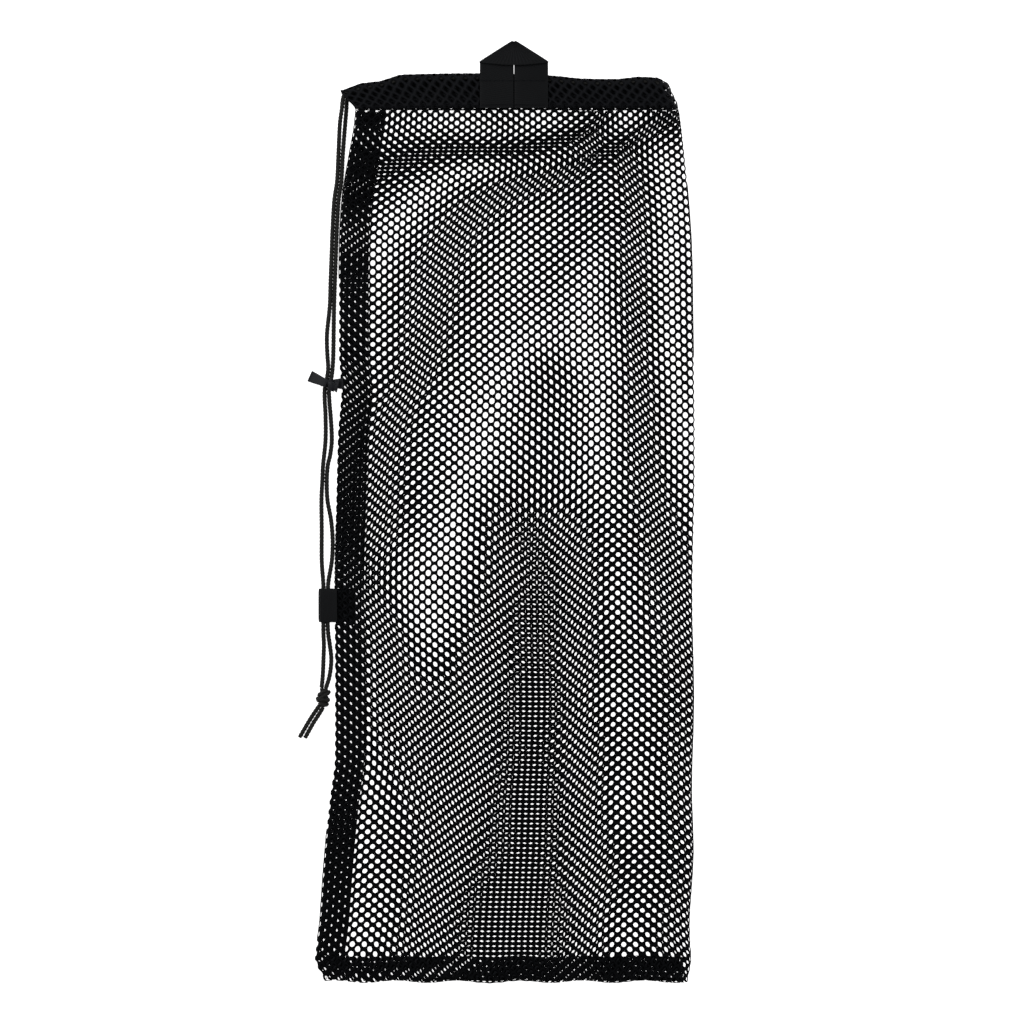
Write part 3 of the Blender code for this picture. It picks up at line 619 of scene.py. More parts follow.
def read_table(table, across, up):
    """The table's value between its places. across and up run from 0 to 1."""
    i = np.clip(across, 0.0, 1.0) * (table.shape[0] - 1)
    j = np.clip(up, 0.0, 1.0) * (table.shape[1] - 1)
    a = np.minimum(i.astype(int), table.shape[0] - 2)
    b = np.minimum(j.astype(int), table.shape[1] - 2)
    u, v = i - a, j - b
    lower = table[a, b] * (1.0 - u) + table[a + 1, b] * u
    upper = table[a, b + 1] * (1.0 - u) + table[a + 1, b + 1] * u
    return lower * (1.0 - v) + upper * v


body_y = np.linspace(BOTTOM_Y + 0.003, STITCH_Y - 0.0008, BODY_SLICES)
body_cut = slices("mesh_body", 1, body_y)
body_left = body_cut[:, 0, 0] + NET_WALL / 2.0
body_right = body_cut[:, 1, 0] - NET_WALL / 2.0
inset_left = body_left + EDGE_INSET
inset_right = body_right - EDGE_INSET
share_across = np.linspace(0.0, 1.0, BODY_ACROSS)[:, None]
body_xs = inset_left + (inset_right - inset_left) * share_across
body_top = top_heights("mesh_body", body_xs, np.broadcast_to(body_y, body_xs.shape))
missing = int(np.isnan(body_top).sum())
front_level = softened(np.nan_to_num(body_top, nan=float(np.nanmean(body_top))) - NET_WALL / 2.0, 2)
fold_radius = (front_level[-1] - NET_WALL / 2.0) / 2.0
print("missed rays:", missing, " fold radius, mm:", (1000 * fold_radius[[0, 60, -1]]).round(2))


# %% [markdown]
# ## Laying the sheet
#
# A place on a panel is a column, counted from the left seam to the fold, and a row, counted from the
# bottom. Both count along the cloth itself. Where the cloth turns round the seam or the fold, the
# same length of cloth therefore covers less ground, and the holes look narrower there.
#
# Rows lie a little closer together towards the mouth, where the sheet is pulled sideways.

# %% Panels
# Share of the way up and the height of a row there, in millimetres
ROW_PITCH = [(0.0, 7.25), (0.30, 7.20), (0.45, 7.14), (0.60, 7.03), (0.78, 6.75), (0.94, 6.15), (1.0, 5.90)]
COLUMNS = 61
LENGTH_STEPS = 400
PANEL_FOOT = BOTTOM_Y + NET_WALL / 2.0
SEAM_ARC = SEAM_RADIUS * math.pi / 2.0
PANEL_LENGTH = STITCH_Y - PANEL_FOOT - SEAM_RADIUS + SEAM_ARC

length_share = np.linspace(0.0, 1.0, LENGTH_STEPS)
pitch_there = 0.001 * np.interp(length_share, *zip(*ROW_PITCH))
rows_below = np.cumsum(PANEL_LENGTH / LENGTH_STEPS / pitch_there)
rows_below -= rows_below[0]
ROWS = round(rows_below[-1])
rows_below *= ROWS / rows_below[-1]
print("rows:", ROWS)


def edge_wave(x, y):
    """The sewn bottom edge runs in shallow waves."""
    fade = np.clip(1.0 - (y - BOTTOM_Y) / EDGE_WAVE_REACH, 0.0, 1.0)
    return EDGE_WAVE * smooth_step(fade) * np.sin(2.0 * math.pi * x / EDGE_WAVE_PITCH)


def panel_place(side):
    """Where a column and a row of a panel lie. side is -1 for the back panel and 1 for the front."""
    def place(c, r):
        length = PANEL_LENGTH * np.interp(r, rows_below, length_share)
        low_turn = np.clip(length / SEAM_RADIUS, 0.0, math.pi / 2.0)
        y = PANEL_FOOT + SEAM_RADIUS * (1.0 - np.cos(low_turn)) + np.maximum(length - SEAM_ARC, 0.0)
        left = np.interp(y, body_y, body_left)
        right = np.interp(y, body_y, body_right)
        fold = np.interp(y, body_y, fold_radius)
        flat = right - left - fold - SEAM_RADIUS
        d = c / COLUMNS * (flat + SEAM_ARC + fold * math.pi / 2.0)
        turn_left = np.clip(d / SEAM_RADIUS, 0.0, math.pi / 2.0)
        turn_right = np.clip((d - SEAM_ARC - flat) / fold, 0.0, math.pi / 2.0)
        x = left + SEAM_RADIUS * (1.0 - np.cos(turn_left)) + np.clip(d - SEAM_ARC, 0.0, flat)
        x += fold * np.sin(turn_right)
        opening = np.sin(turn_left) * np.cos(turn_right) * np.sin(low_turn)
        share = (x - left - EDGE_INSET) / (right - left - 2.0 * EDGE_INSET)
        step = read_table(front_level, share, (y - body_y[0]) / (body_y[-1] - body_y[0])) - NET_WALL / 2.0
        z = NET_WALL / 2.0 + step * (1.0 + side * opening) / 2.0
        return np.stack([x, y + edge_wave(x, y), z], axis=1)
    return place


back_place, front_place = panel_place(-1.0), panel_place(1.0)

# %% [markdown]
# ## How the two panels slip past each other
#
# The bag lies as it was put down, and its front panel has slipped a few millimetres over the back
# panel, more in one place than in another. Where the panels fit, holes lie over holes and the ground
# shines through. A whole column sideways, each hole is crossed by the strands below it and the eye
# sees small stars. That is the dark cone in the lower half of the bag.
#
# The table says how far the front panel has slipped at some places, as it looks from the camera.
# Between them the slip follows the bend of a thin springy sheet that is held at those places, which is
# close to how cloth shares it out. The front panel is nearer to the lens than the back one, most of
# all at the mouth, so it looks moved outwards from the middle of the picture. That part is taken off.

# %% Slip of the front panel
# Each place is x, y, slip to the right and slip upwards, in millimetres on the bag
ARCH = [
    (28, 225, 0.2, -1.4), (20, 195, 0.2, -1.1), (42, 195, 0.4, -1.4), (20, 160, 0.0, -0.9),
    (40, 160, 0.1, -0.8), (58, 160, 0.0, 0.0), (60, 122, 0.0, 0.2), (69, 85, 0.0, 0.0),
    (40, 118, 1.2, 0.6), (22, 118, 0.9, 0.5), (28, 85, 1.1, 0.8), (28, 40, 1.3, 0.6),
    (-22, 10, 0.9, 0.8), (-3, 118, 0.0, -0.4), (-12, 88, 0.0, 0.0), (-17, 58, 0.0, 0.0),
    (-40, -8, 0.0, 0.0), (-57, -71, 0.2, 0.3), (-30, 112, 0.1, -1.0), (-48, 95, 0.1, -1.3),
    (-55, 20, 0.1, -1.3),
]
LEFT = [
    (-55, 184, 2.2, -1.8), (-66, 110, 2.1, -1.7), (-90, 60, 2.1, -1.7), (-90, 0, 1.9, -1.4),
    (-66, 236, 3.8, -3.2), (-88, 205, 3.8, -3.2), (-85, -83, 2.0, 1.7), (-64, -105, 1.1, 1.0),
    (-77, -240, 3.6, 1.9), (-95, -290, 3.9, 2.3), (-100, -205, 3.8, 2.5),
]
MOUTH = [
    (-25, 236, 2.2, -1.8), (11, 255, 2.0, -1.9), (41, 262, 1.6, -2.1), (72, 240, 0.6, -1.8),
    (-25, 269, 4.2, -3.7), (-62, 276, 4.5, -6.2), (-25, 286, 4.4, -7.0), (28, 288, 4.0, -6.6),
    (0, 302, 3.5, -10.3), (62, 302, 2.8, -7.6),
]
CONE = [
    (24, 25, 1.4, 0.2), (41, -1, 2.1, -1.3), (14, -8, 2.9, 0.0), (4, -30, 2.3, 1.1),
    (18, -60, 3.7, 0.0), (36, -60, 2.8, -0.5), (-2, -127, 2.9, 0.3), (20, -127, 4.4, 0.0),
    (37, -127, 3.0, -0.3), (-6, -201, 3.0, 0.3), (15, -201, 4.4, 0.0), (36, -201, 3.0, -0.3),
    (-22, -275, 3.6, 0.1), (8, -275, 4.4, 0.0), (38, -275, 3.1, -0.3), (-34, -325, 3.3, 0.6),
    (-8, -325, 4.4, 0.0), (34, -325, 3.1, -0.3), (54, -53, 2.2, -1.8), (52, -100, 2.2, -1.8),
    (54, -150, 2.2, -1.8), (56, -201, 2.2, -1.8), (60, -260, 2.2, -1.8), (62, -325, 2.2, -1.8),
    (-18, -97, 2.1, 1.9), (-26, -142, 2.2, 1.8), (-38, -201, 2.2, 1.8), (-52, -260, 2.2, 1.8),
    (-58, -325, 2.3, 1.9),
]
RIGHT = [
    (78, 21, 0.0, -1.1), (82, -53, 0.0, -1.1), (85, -127, 0.0, -1.1), (88, -201, 0.0, -1.2),
    (90, -310, 0.0, -1.1), (115, -127, -0.7, -1.7), (115, -220, -0.7, -1.7), (132, -127, -1.2, -2.0),
    (134, -250, -1.2, -2.1), (78, 190, -0.9, -0.5), (80, 125, -0.4, -0.2), (92, 270, -2.2, -1.8),
    (97, 200, -2.2, -1.8), (100, 130, -2.2, -1.8), (105, 60, -2.2, -1.8), (118, 0, -2.2, -1.8),
    (134, -50, -2.2, -1.8), (126, 243, -4.3, -3.5), (128, 132, -4.3, -3.5), (134, 50, -3.8, -3.1),
]


def sheet_bend(table):
    """A function that gives the slip anywhere, bent like a thin sheet held at the table's places."""
    held, values = np.hsplit(np.array(table, float), 2)

    def kernel(spots):
        away = ((spots[:, None] - held) ** 2).sum(axis=2)
        return away * np.log(away + 1e-9)

    flat = np.column_stack([np.ones(len(held)), held])
    whole = np.block([[kernel(held), flat], [flat.T, np.zeros((3, 3))]])
    weights = np.linalg.solve(whole, np.vstack([values, np.zeros((3, 2))]))

    def slip_at(spots):
        return np.column_stack([kernel(spots), np.ones(len(spots)), spots]) @ weights
    return slip_at


slip_mm = sheet_bend(ARCH + LEFT + MOUTH + CONE + RIGHT)


def front_slip(c, r):
    """Slip of the front panel in columns and rows."""
    place = front_place(c, r)
    looks_moved = (place[:, :2] - VIEW_MIDDLE) * (place[:, 2:] - NET_WALL / 2.0) / camera_height
    moved = slip_mm(1000.0 * place[:, :2]) / 1000.0 - looks_moved
    return moved[:, 0] / COLUMN, moved[:, 1] / PITCH


print("slip in the cone, mm:", slip_mm(np.array([(12.0, -150.0)])).round(1))

# %% Both panels
def panel_hole(share):
    """The net is gathered a little towards the mouth, and its holes are smaller there."""
    return np.interp(share, (0.0, 0.86, 1.0), (1.0, 1.0, 0.90))


knit(
    "net_back_panel", COLUMNS, ROWS, back_place, "net", net_yarn, ["mesh_body"], hole=panel_hole)
knit(
    "net_front_panel", COLUMNS, ROWS, front_place, "net", net_yarn, slip=front_slip, hole=panel_hole)

# %% [markdown]
# ## Seam allowances
#
# Along the left edge and the bottom, both layers are turned inside and sewn. Two more nets lie there
# between the panels. Four nets over each other leave only pin holes, so these bands look black with a
# few specks of light. Their lattices are shifted, as a turned edge never lands on the holes below it.

# %% Seam allowances
ALLOWANCE_LEVELS = (0.0020, 0.0030)
BOTTOM_ABOVE_SIDE = 0.0004
SIDE_WIDTH = 0.0210
BOTTOM_DEPTH = 0.0180
EDGE_ROOM = 0.0010
ALLOWANCE_HOLE = 0.97

side_y = np.linspace(BOTTOM_Y + 0.0050, STITCH_Y - 0.0010, 70)
side_left = np.interp(side_y, body_y, body_left) + EDGE_ROOM
side_length = side_y[-1] - side_y[0]
bottom_x = np.linspace(body_left[0] + 2.0 * EDGE_ROOM, body_right[0] - 3.0 * EDGE_ROOM, 90)
bottom_low = slices("mesh_body", 0, bottom_x)[:, 0, 1] + NET_WALL / 2.0 + EDGE_ROOM
bottom_length = bottom_x[-1] - bottom_x[0]


def side_place(level):
    def place(c, r):
        y = side_y[0] + r * PITCH
        return np.stack([np.interp(y, side_y, side_left) + c * COLUMN, y, np.full_like(y, level)], axis=1)
    return place


def bottom_place(level):
    def place(c, r):
        x = bottom_x[0] + c * COLUMN
        return np.stack([x, np.interp(x, bottom_x, bottom_low) + r * PITCH, np.full_like(x, level)], axis=1)
    return place


def shifted(columns, rows):
    return lambda c, r: (columns, rows)


def allowance_hole(share):
    """The turned-in net is pressed, and its holes are a little smaller."""
    return np.full(len(share), ALLOWANCE_HOLE)


# The allowances use the hem yarn, whose lighter black is painted sheen.
for n, level in enumerate(ALLOWANCE_LEVELS):
    knit(
        f"side_allowance_{n + 1}", SIDE_WIDTH / COLUMN, side_length / PITCH, side_place(level),
        "hem_net", hem_yarn_painted_sheen, ["side_seam"] if n == 0 else (),
        shifted(0.2 + 0.5 * n, 0.3 + 0.3 * n), allowance_hole)
    knit(
        f"bottom_allowance_{n + 1}", bottom_length / COLUMN, BOTTOM_DEPTH / PITCH,
        bottom_place(level + BOTTOM_ABOVE_SIDE), "hem_net", hem_yarn_painted_sheen, ["bottom_seam"] if n == 0 else (),
        shifted(0.4 + 0.5 * n, 0.2 + 0.3 * n), allowance_hole)

# %% [markdown]
# ## The casing
#
# The mouth's edge is folded to the inside and sewn down, which makes the tunnel for the cord. It is
# one sheet: up the outside, over the fold and down the inside, all the way round the mouth. The net
# is squeezed there, so its holes are smaller, and four layers of it look black.

# %% Where the casing stands
CLEARANCE = 0.0003
HEM_DEPTH = 0.025
HEM_STEP = 0.0048
HEM_PINCH = 0.0017
TUNNEL_FOOT = 0.0084
CASING_LEAN = (-0.0108, -0.0065)
CASING_ROWS = 7.5
CASING_HOLE_AT = (0.0, 0.46, 0.56, 1.0)
CASING_HOLE = (0.80, 0.70, 0.42, 0.42)
CREST_LEFT, CREST_RIGHT = -0.1208, 0.1290
FRONT_STEPS = 60
FRONT_LEVEL_UP = 0.010
FRONT_FROM_LEFT, FRONT_FROM_RIGHT = 0.002, 0.009
FOOT_Y = STITCH_Y + CLEARANCE

foot_cut = slices("drawcord_casing", 1, [STITCH_Y + 0.002])[0]
casing_left, casing_right = foot_cut[0, 0] + 0.0002, foot_cut[1, 0] - NET_WALL / 2.0
crest_x = np.linspace(cad_low.x, cad_high.x, 240)
crest_x = crest_x[(crest_x > CREST_LEFT) & (crest_x < CREST_RIGHT)]
crest_y = slices("drawcord_casing", 0, crest_x)[:, 1, 1]
front_x = np.linspace(casing_left + FRONT_FROM_LEFT, casing_right - FRONT_FROM_RIGHT, FRONT_STEPS)
front_y = np.full(FRONT_STEPS, STITCH_Y + FRONT_LEVEL_UP)
front_z = top_heights("drawcord_casing", front_x, front_y) - NET_WALL / 2.0
mouth_radius = (front_z[-1] - NET_WALL / 2.0) / 2.0
casing_flat = casing_right - mouth_radius - casing_left
casing_round = 2.0 * casing_flat + math.pi * mouth_radius
CASING_COLUMNS = round(casing_round / COLUMN)
print("casing, mm:", round(1000 * casing_round), "around,", CASING_COLUMNS, "columns")


def casing_ring(c):
    """x, z and the outward direction at a column, from the back left end round the fold to the front."""
    d = c / CASING_COLUMNS * casing_round
    turn = np.clip((d - casing_flat) / mouth_radius, 0.0, math.pi)
    front = np.maximum(d - casing_flat - math.pi * mouth_radius, 0.0)
    x = casing_left + np.minimum(d, casing_flat) - front + mouth_radius * np.sin(turn)
    z = NET_WALL / 2.0 + mouth_radius * (1.0 - np.cos(turn))
    return x, np.where(front > 0.0, np.interp(x, front_x, front_z), z), np.sin(turn), -np.cos(turn)


def casing_depth(x):
    return np.interp(x + casing_lean(x), crest_x, crest_y) - NET_WALL / 2.0 - FOOT_Y


def casing_lean(x):
    share = (x - casing_left) / (casing_right - casing_left)
    return CASING_LEAN[0] + (CASING_LEAN[1] - CASING_LEAN[0]) * share


def in_hem(c, rise, inward):
    """The place in the hem at a column: rise is a share of the casing's depth there."""
    x, z, out_x, out_z = casing_ring(c)
    t = np.clip(rise, 0.0, 1.0)
    lean = casing_lean(x) * smooth_step(t)
    return np.stack([x - out_x * inward + lean, FOOT_Y + rise * casing_depth(x), z - out_z * inward], axis=1)


# %% The casing's net
def hem_section():
    """Rise, as a share of the depth, and way inwards, along the hem from its outer to its inner foot."""
    depth = HEM_DEPTH
    radius = HEM_STEP / 2.0
    turns = np.linspace(0.0, math.pi, 9)
    rise = [0.0, *(depth - radius + radius * np.sin(turns)), depth - TUNNEL_FOOT]
    inward = [0.0, *(radius * (1.0 - np.cos(turns))), HEM_STEP]
    foot = depth - TUNNEL_FOOT
    rise += [foot * 0.62, foot * 0.35, 0.0]
    inward += [HEM_PINCH + (HEM_STEP - HEM_PINCH) * 0.35, HEM_PINCH, HEM_PINCH]
    rise, inward = np.array(rise), np.array(inward)
    reach = np.concatenate([[0.0], np.cumsum(np.hypot(np.diff(rise), np.diff(inward)))])
    return reach / reach[-1], rise / depth, inward


section_at, section_rise, section_inward = hem_section()


def casing_place(c, r):
    share = r / CASING_ROWS
    return in_hem(c, np.interp(share, section_at, section_rise), np.interp(share, section_at, section_inward))


def casing_hole(share):
    """Full size on the outer wall, and drawn together on the inner one."""
    return np.interp(share, CASING_HOLE_AT, CASING_HOLE)


# The casing also uses the hem yarn, with its painted sheen.
knit(
    "casing_net", CASING_COLUMNS, CASING_ROWS, casing_place, "hem_net", hem_yarn_painted_sheen, ["drawcord_casing"],
    shifted(0.3, 0.4), casing_hole)

# %% Cord in the casing
CORD_SLACK = 0.0010
CORD_GAP = 0.0003
tunnel_c = np.linspace(2.0, CASING_COLUMNS - 2.0, 40)
tunnel_x = casing_ring(tunnel_c)[0]
tunnel_rise = 1.0 - (HEM_STEP / 2.0 + CORD_SLACK) / casing_depth(tunnel_x)
tunnel = in_hem(tunnel_c, tunnel_rise, HEM_STEP / 2.0)
tunnel = tunnel[tunnel[:, 0] > CORNER_B[0] + CORD_DIAMETER]


def way_out(corner, run):
    """Where the cord in the casing stops, just before the free run begins."""
    along = np.subtract(run[1], corner)
    return tuple(np.array(run[0]) - CORD_GAP * along / np.linalg.norm(along))


hidden_route = [way_out(CORNER_B, RUN_B), CORNER_B, *map(tuple, tunnel), CORNER_A, way_out(CORNER_A, RUN_A)]
hidden_line = smooth_route(hidden_route, BRAID_STEP)
braided("cord_in_casing", [hidden_line], "casing_cord")
print("cord in the casing, m:", round(length_of(hidden_line), 3))

# %% [markdown]
# ## Webbing and ribbon
#
# Webbing is woven with thick cross threads, so its face has fine ribs across the strap. A strap is
# built from its two edges: lines are drawn from one edge to the other, a thickness is put round each,
# and every second line stands a little higher. The real ribs are 0.8 mm apart, which is one pixel
# here, so they are drawn 1.5 mm apart.

# %% A woven strip
RIB_PITCH = 0.0015
RIB_HEIGHT = 0.00030
TAPE_RIB = 0.00003
STRIP_ACROSS = 14


def woven_strip(name, one_edge, other_edge, thickness, rib_height, finish, slot, *nodes):
    """A strip between two edge lines, with rounded edges and ribs across it."""
    one_edge, other_edge = np.array(one_edge, float), np.array(other_edge, float)
    reach = reach_along((one_edge + other_edge) / 2.0)
    goals = np.linspace(0.0, reach[-1], max(round(reach[-1] / (RIB_PITCH / 5.0)), 4) + 1)
    one_edge, other_edge = along_line(one_edge, reach, goals), along_line(other_edge, reach, goals)
    across = other_edge - one_edge
    along = np.gradient((one_edge + other_edge) / 2.0, axis=0)
    up = unit(np.cross(along, across))
    share = (1.0 - np.cos(np.linspace(0.0, math.pi, STRIP_ACROSS + 1))) / 2.0
    roll = np.sqrt(np.clip(1.0 - np.abs(2.0 * share - 1.0) ** 8, 0.0, 1.0))
    rib = rib_height * (0.5 + 0.5 * np.cos(2.0 * math.pi * goals / RIB_PITCH)) - rib_height
    half = (thickness / 2.0 + rib)[:, None] * roll
    place = one_edge[:, None] + across[:, None] * share[None, :, None]
    top = place + up[:, None] * half[..., None]
    low = (place - up[:, None] * half[..., None])[:, -2:0:-1]
    ring = np.concatenate([top, low], axis=1)
    around = ring.shape[1]
    return add_piece(name, ring.reshape(-1, 3), grid_faces(len(ring), around), finish, slot, *nodes)


# %% [markdown]
# ## The hanging loop
#
# One strip of webbing is sewn up the casing, folded over to the right at 45 degrees twice, and sewn
# down again beside itself. The fold makes the little gable at the top, in front of both legs.

# %% Hanging loop
WEBBING_WIDTH = 0.025
WEBBING_THICKNESS = 0.0012
LOOP_X = 0.0070
LOOP_PEAK = 0.0230
LOOP_SHOULDER = 0.0070
LOOP_SLIT = 0.0004
LOOP_APEX = 0.0018
LOOP_DROOP = 0.0030
LOOP_SAG = 0.0020
FOLD_Y = -BOTTOM_Y
Flap = namedtuple("Flap", "out apex sag rise")
FLAP = [
    Flap(1.00, 0.90, 0.00, 1.00),
    Flap(0.62, 0.50, 0.50, 1.25),
    Flap(0.30, 0.25, 0.90, 1.40),
    Flap(0.00, 0.00, 1.00, 1.40),
]


def loop_edges():
    """Outer and inner edge of the left half: from its foot up the leg and into the flap."""
    shoulder, peak = FOLD_Y + LOOP_SHOULDER, FOLD_Y + LOOP_PEAK
    inner = LOOP_SLIT / 2.0
    outer, apex = inner + WEBBING_WIDTH, LOOP_APEX / 2.0
    layer = WEBBING_THICKNESS + 2.0 * CLEARANCE
    share = np.linspace(0.0, 1.0, 7)
    one = [(outer, FOOT_Y + (shoulder - FOOT_Y) * s, 0.0) for s in share]
    other = [(inner + (apex - inner) * s ** 8, FOOT_Y + (peak - FOOT_Y) * s, 0.0) for s in share]
    bend = np.array((peak - shoulder, outer - apex))
    bend = bend / np.linalg.norm(bend) * layer / 2.0
    one.append((outer + bend[0], shoulder + bend[1], layer / 2.0))
    other.append((apex, peak + bend[1], layer / 2.0))
    for flap in FLAP:
        one.append((outer * flap.out, shoulder - LOOP_SAG * flap.sag, layer * flap.rise))
        other.append((apex * flap.apex, peak, layer * flap.rise))
    return np.array(one), np.array(other)


def whole_edge(half, level):
    """The left half and its mirror image as one line, laid on the casing."""
    left, right = half * (-1.0, 1.0, 1.0), half[-2::-1]
    line = np.vstack([left, right])
    t = np.clip((line[:, 1] - FOLD_Y) / LOOP_PEAK, 0.0, 1.0)
    line[:, 0] += LOOP_X
    line[:, 2] += level - LOOP_DROOP * smooth_step(t)
    return line


loop_level = float(np.interp(LOOP_X, front_x, front_z)) + NET_WALL / 2.0 + CLEARANCE + WEBBING_THICKNESS / 2.0
outer_half, inner_half = loop_edges()
woven_strip(
    "hanging_loop_strap", whole_edge(outer_half, loop_level), whole_edge(inner_half, loop_level),
    WEBBING_THICKNESS, RIB_HEIGHT, webbing_yarn, "webbing", "hanging_loop")
print("loop lies at, mm:", round(1000 * loop_level, 1))

# %% [markdown]
# ## Side loop and keeper ribbon
#
# A piece of the same webbing comes out of the side seam, goes under both cords and back over them.
# Its ends are sewn in between the layers of the seam, where they close the holes of the net. A narrow
# ribbon higher up goes round the cords too. It is drawn together by its own knot, so the cords can't
# slip away.

# %% Loops round the cords
SEAM_STEP = 0.0038
TUNNEL_PLAY = 0.0004
SIDE_LOOP_Y = BOTTOM_Y + 0.2797
SIDE_LOOP_REACH = 0.0115
RIBBON_WIDTH = 0.0085
RIBBON_THICKNESS = 0.0006
RIBBON_Y = BOTTOM_Y + 0.4440
RIBBON_REACH = 0.0146
RIBBON_GATHER = 0.55
SEWN_LENGTH = 0.0140
SEWN_LEVEL = 0.0014
SEWN_THICKNESS = 0.0004
SEWN_RIB = 0.00005


def over_cords(thickness):
    return 1.5 * thickness + CORD_DIAMETER + 2.0 * CLEARANCE + TUNNEL_PLAY


def over_seam(thickness):
    return NET_WALL + SEAM_STEP + CLEARANCE + thickness / 2.0


def left_edge(y):
    return float(np.interp(y, body_y, body_left)) - NET_WALL / 2.0


def loop_edge(y, middle, reach, thickness, gather):
    """One edge of a loop round the cords: under them, round them and back over them to the seam.

    gather is the share of its width that the strip loses where it goes round the cords.
    """
    lower, upper = thickness / 2.0, over_cords(thickness)
    radius = (upper - lower) / 2.0
    seam_radius = (NET_WALL + SEAM_STEP) / 2.0
    outer = left_edge(middle) - reach + thickness / 2.0 + radius
    under_end = left_edge(y) + seam_radius - math.sqrt(seam_radius ** 2 - (seam_radius - thickness) ** 2)
    under_end -= 2.0 * CLEARANCE
    over_end, over_level = left_edge(y) + seam_radius, max(upper, over_seam(thickness))
    line = [(under_end + (outer - under_end) * s, y, lower) for s in np.linspace(0.0, 1.0, 8)[:-1]]
    for turn in np.linspace(0.0, math.pi, 17):
        line.append((outer - radius * math.sin(turn), y, lower + radius * (1.0 - math.cos(turn))))
    for s in np.linspace(0.0, 1.0, 8)[1:]:
        line.append((outer + (over_end - outer) * s, y, upper + (over_level - upper) * smooth_step(s)))
    line = np.array(line)
    away = np.clip((line[:, 0] - outer) / (over_end - outer), 0.0, 1.0)
    line[:, 1] = middle + (y - middle) * (1.0 - gather * (1.0 - away))
    return line


def loop_round_cords(name, middle, width, reach, thickness, gather, rib_height, finish, slot, node):
    sides = [middle - width / 2.0, middle + width / 2.0]
    edges = [loop_edge(y, middle, reach, thickness, gather) for y in sides]
    return woven_strip(name, *edges, thickness, rib_height, finish, slot, node)


loop_round_cords(
    "side_loop_strap", SIDE_LOOP_Y, WEBBING_WIDTH, SIDE_LOOP_REACH, WEBBING_THICKNESS, 0.0, RIB_HEIGHT,
    webbing_yarn, "webbing", "side_webbing_loop")
loop_round_cords(
    "keeper_band", RIBBON_Y, RIBBON_WIDTH, RIBBON_REACH, RIBBON_THICKNESS, RIBBON_GATHER, TAPE_RIB,
    ribbon_yarn, "ribbon", "keeper_ribbon")

sewn_edges = []
for hand in (-1.0, 1.0):
    y = SIDE_LOOP_Y + hand * WEBBING_WIDTH / 2.0
    edge_x = left_edge(y) + NET_WALL + EDGE_ROOM
    sewn_edges.append([(edge_x + SEWN_LENGTH * s, y, SEWN_LEVEL) for s in np.linspace(0.0, 1.0, 6)])
woven_strip("side_loop_sewn_end", *sewn_edges, SEWN_THICKNESS, SEWN_RIB, webbing_yarn, "webbing")
print("side loop, mm wide:", 1000 * WEBBING_WIDTH, " sewn in by", 1000 * SEWN_LENGTH)

# %% Keeper's knot and tail
TAPE_KNOT = (0.0090, 0.0088, 0.0045)
TAPE_KNOT_OUT = 0.0050
# Slope in degrees, shift in metres and size of each turn of the tape
TAPE_WRAPS = [(-14.0, 0.0022, 0.98), (12.0, -0.0020, 1.02), (66.0, 0.0006, 1.08), (118.0, -0.0012, 1.00)]
TAPE_WIDE = 0.0030
TAPE_TILT = 0.20
TAPE_KNOT_LOW = 0.0012
TAPE_CRUMPLE = 0.10
TAIL_LENGTH = 0.0140
TAIL_SLOPE = math.radians(24.0)
TAIL_WAIST = 0.0061
TAIL_DROP = 0.46
KNOT_FLOOR = 0.86 / 1.09

ribbon_top = max(over_cords(RIBBON_THICKNESS), over_seam(RIBBON_THICKNESS)) + RIBBON_THICKNESS / 2.0
tape_knot_level = ribbon_top + CLEARANCE + KNOT_FLOOR * TAPE_KNOT[2] / 2.0
tape_knot_out = left_edge(RIBBON_Y) - TAPE_KNOT_OUT
tape_knot_middle = np.array((tape_knot_out, RIBBON_Y - TAPE_KNOT_LOW, tape_knot_level))


def wrap_edges(slope, shift, size):
    """Two edges of one turn of crumpled tape round the knot, one standing further out than the other."""
    turn = np.linspace(0.0, 2.0 * math.pi, 49)
    slope = math.radians(slope)
    along = np.array((math.cos(slope), math.sin(slope), 0.0))
    beside = np.array((-math.sin(slope), math.cos(slope), 0.0))
    edges = []
    for hand in (-1.0, 1.0):
        narrow = 1.0 + TAPE_CRUMPLE * np.cos(3.0 * turn + hand)
        stand = size * (1.0 + hand * TAPE_TILT)
        wide = stand * narrow * (TAPE_KNOT[1] / 2.0 - 0.0004)
        high = stand * (TAPE_KNOT[2] / 2.0 - 0.0006) * (0.86 + 0.08 * np.sin(2.0 * turn + slope))
        offset = shift + hand * TAPE_WIDE / 2.0 + 0.0003 * np.sin(2.0 * turn)
        line = tape_knot_middle + np.outer(offset, along) + np.outer(wide * np.cos(turn), beside)
        line[:, 2] += high * np.sin(turn)
        edges.append(line)
    return edges


for n, (slope, shift, size) in enumerate(TAPE_WRAPS):
    woven_strip(
        f"keeper_knot_turn_{n + 1}", *wrap_edges(slope, shift, size), RIBBON_THICKNESS, TAPE_RIB,
        ribbon_yarn, "ribbon", *(["keeper_knot"] if n == 0 else []))

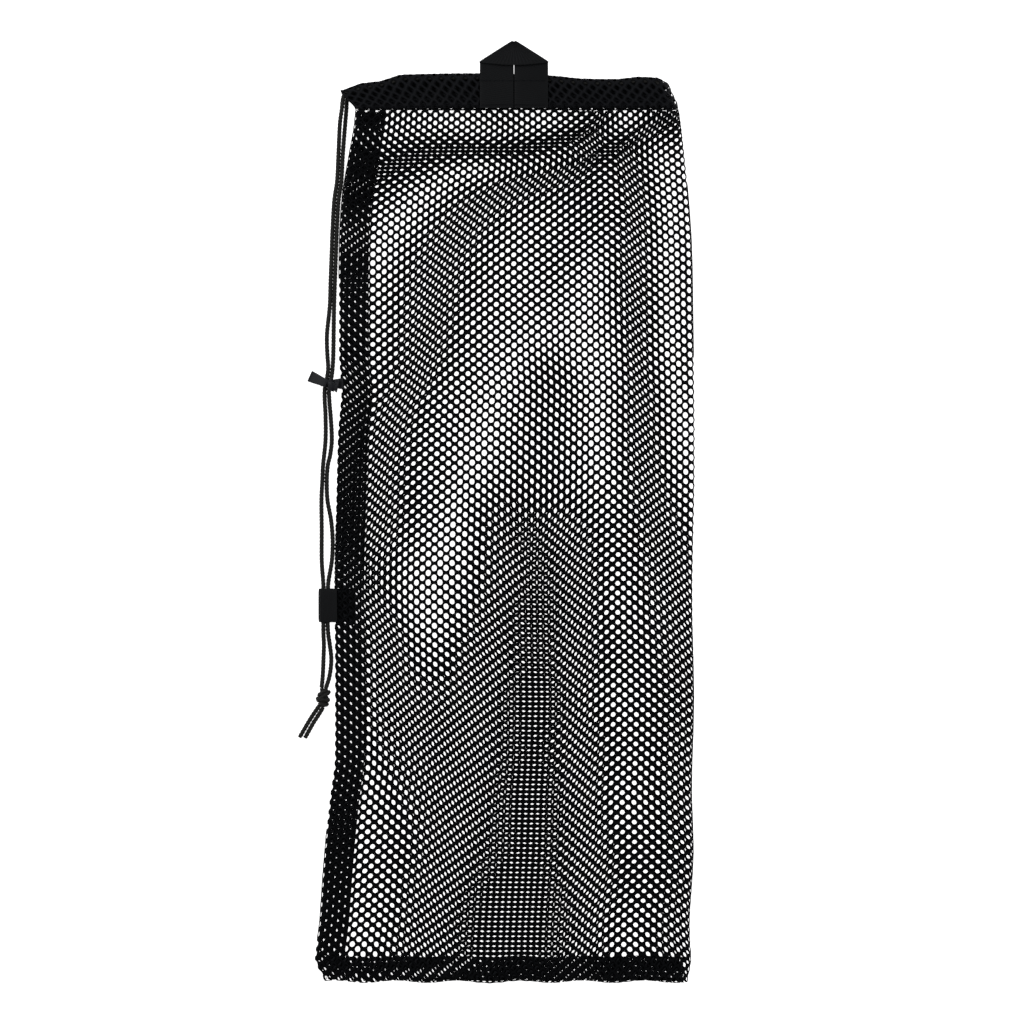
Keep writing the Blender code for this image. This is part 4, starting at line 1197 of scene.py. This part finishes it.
tail_start = tape_knot_middle - np.array((TAPE_KNOT[0] / 2.0 + CLEARANCE, -TAPE_KNOT_LOW, 0.0))
tail_along = np.array((-math.cos(TAIL_SLOPE), math.sin(TAIL_SLOPE), 0.0))
tail_beside = np.array((math.sin(TAIL_SLOPE), math.cos(TAIL_SLOPE), 0.0))
tail_edges = []
for hand in (-1.0, 1.0):
    s = np.linspace(0.0, 1.0, 13)[:, None]
    ease = smooth_step(s)
    half = (TAIL_WAIST + (RIBBON_WIDTH - TAIL_WAIST) * ease) / 2.0
    line = tail_start + tail_along * TAIL_LENGTH * s + tail_beside * half * hand
    line[:, 2] -= (TAIL_DROP * tail_start[2] * ease)[:, 0]
    tail_edges.append(line)
woven_strip(
    "keeper_free_end", *tail_edges, RIBBON_THICKNESS, TAPE_RIB, ribbon_yarn, "ribbon", "keeper_tail")
print("keeper knot, mm:", (1000 * tape_knot_middle).round(1))

# %% [markdown]
# ## Stitches
#
# Two rows of lockstitch hold the hem, and short rows hold the feet of the hanging loop. Each stitch
# is a small thread that dips into the cloth at both ends.

# %% Stitches
STITCH = 0.0030
THREAD = 0.00042
THREAD_AROUND = 6
HEM_ROWS = (0.030, 0.075)
LOOP_ROWS = (0.0022, 0.0200)


def stitches(name, line):
    """Threads along a line of points, each as long as a stitch."""
    reach = reach_along(line)
    arch = np.linspace(0.0, 1.0, 6)
    threads = []
    for start in np.arange(0.0, reach[-1] - STITCH, STITCH):
        spots = along_line(line, reach, start + STITCH * (0.06 + 0.88 * arch))
        spots[:, 2] += THREAD * (0.9 * np.sin(math.pi * arch) - 0.4)
        threads.append(rings_round(spots, full_turn(THREAD_AROUND), THREAD / 2.0))
    add_piece(name, *joined(threads, THREAD_AROUND), hem_yarn_painted_sheen, "hem_net")


hem_columns = np.linspace(CASING_COLUMNS / 2.0 + 8.0, CASING_COLUMNS - 1.5, 120)
for n, rise in enumerate(HEM_ROWS):
    stitches(f"hem_stitches_{n + 1}", in_hem(hem_columns, rise, -STRAND / 2.0 - THREAD / 2.0))
across_loop = np.linspace(LOOP_X - WEBBING_WIDTH, LOOP_X + WEBBING_WIDTH, 40)
for n, up in enumerate(LOOP_ROWS):
    row = [(x, FOOT_Y + up, loop_level + WEBBING_THICKNESS / 2.0) for x in across_loop]
    stitches(f"loop_stitches_{n + 1}", np.array(row))

# %% Sizes, and the last line
size = {"cad": [list(cad_low), list(cad_high)], "visual": [list(corner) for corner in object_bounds()]}
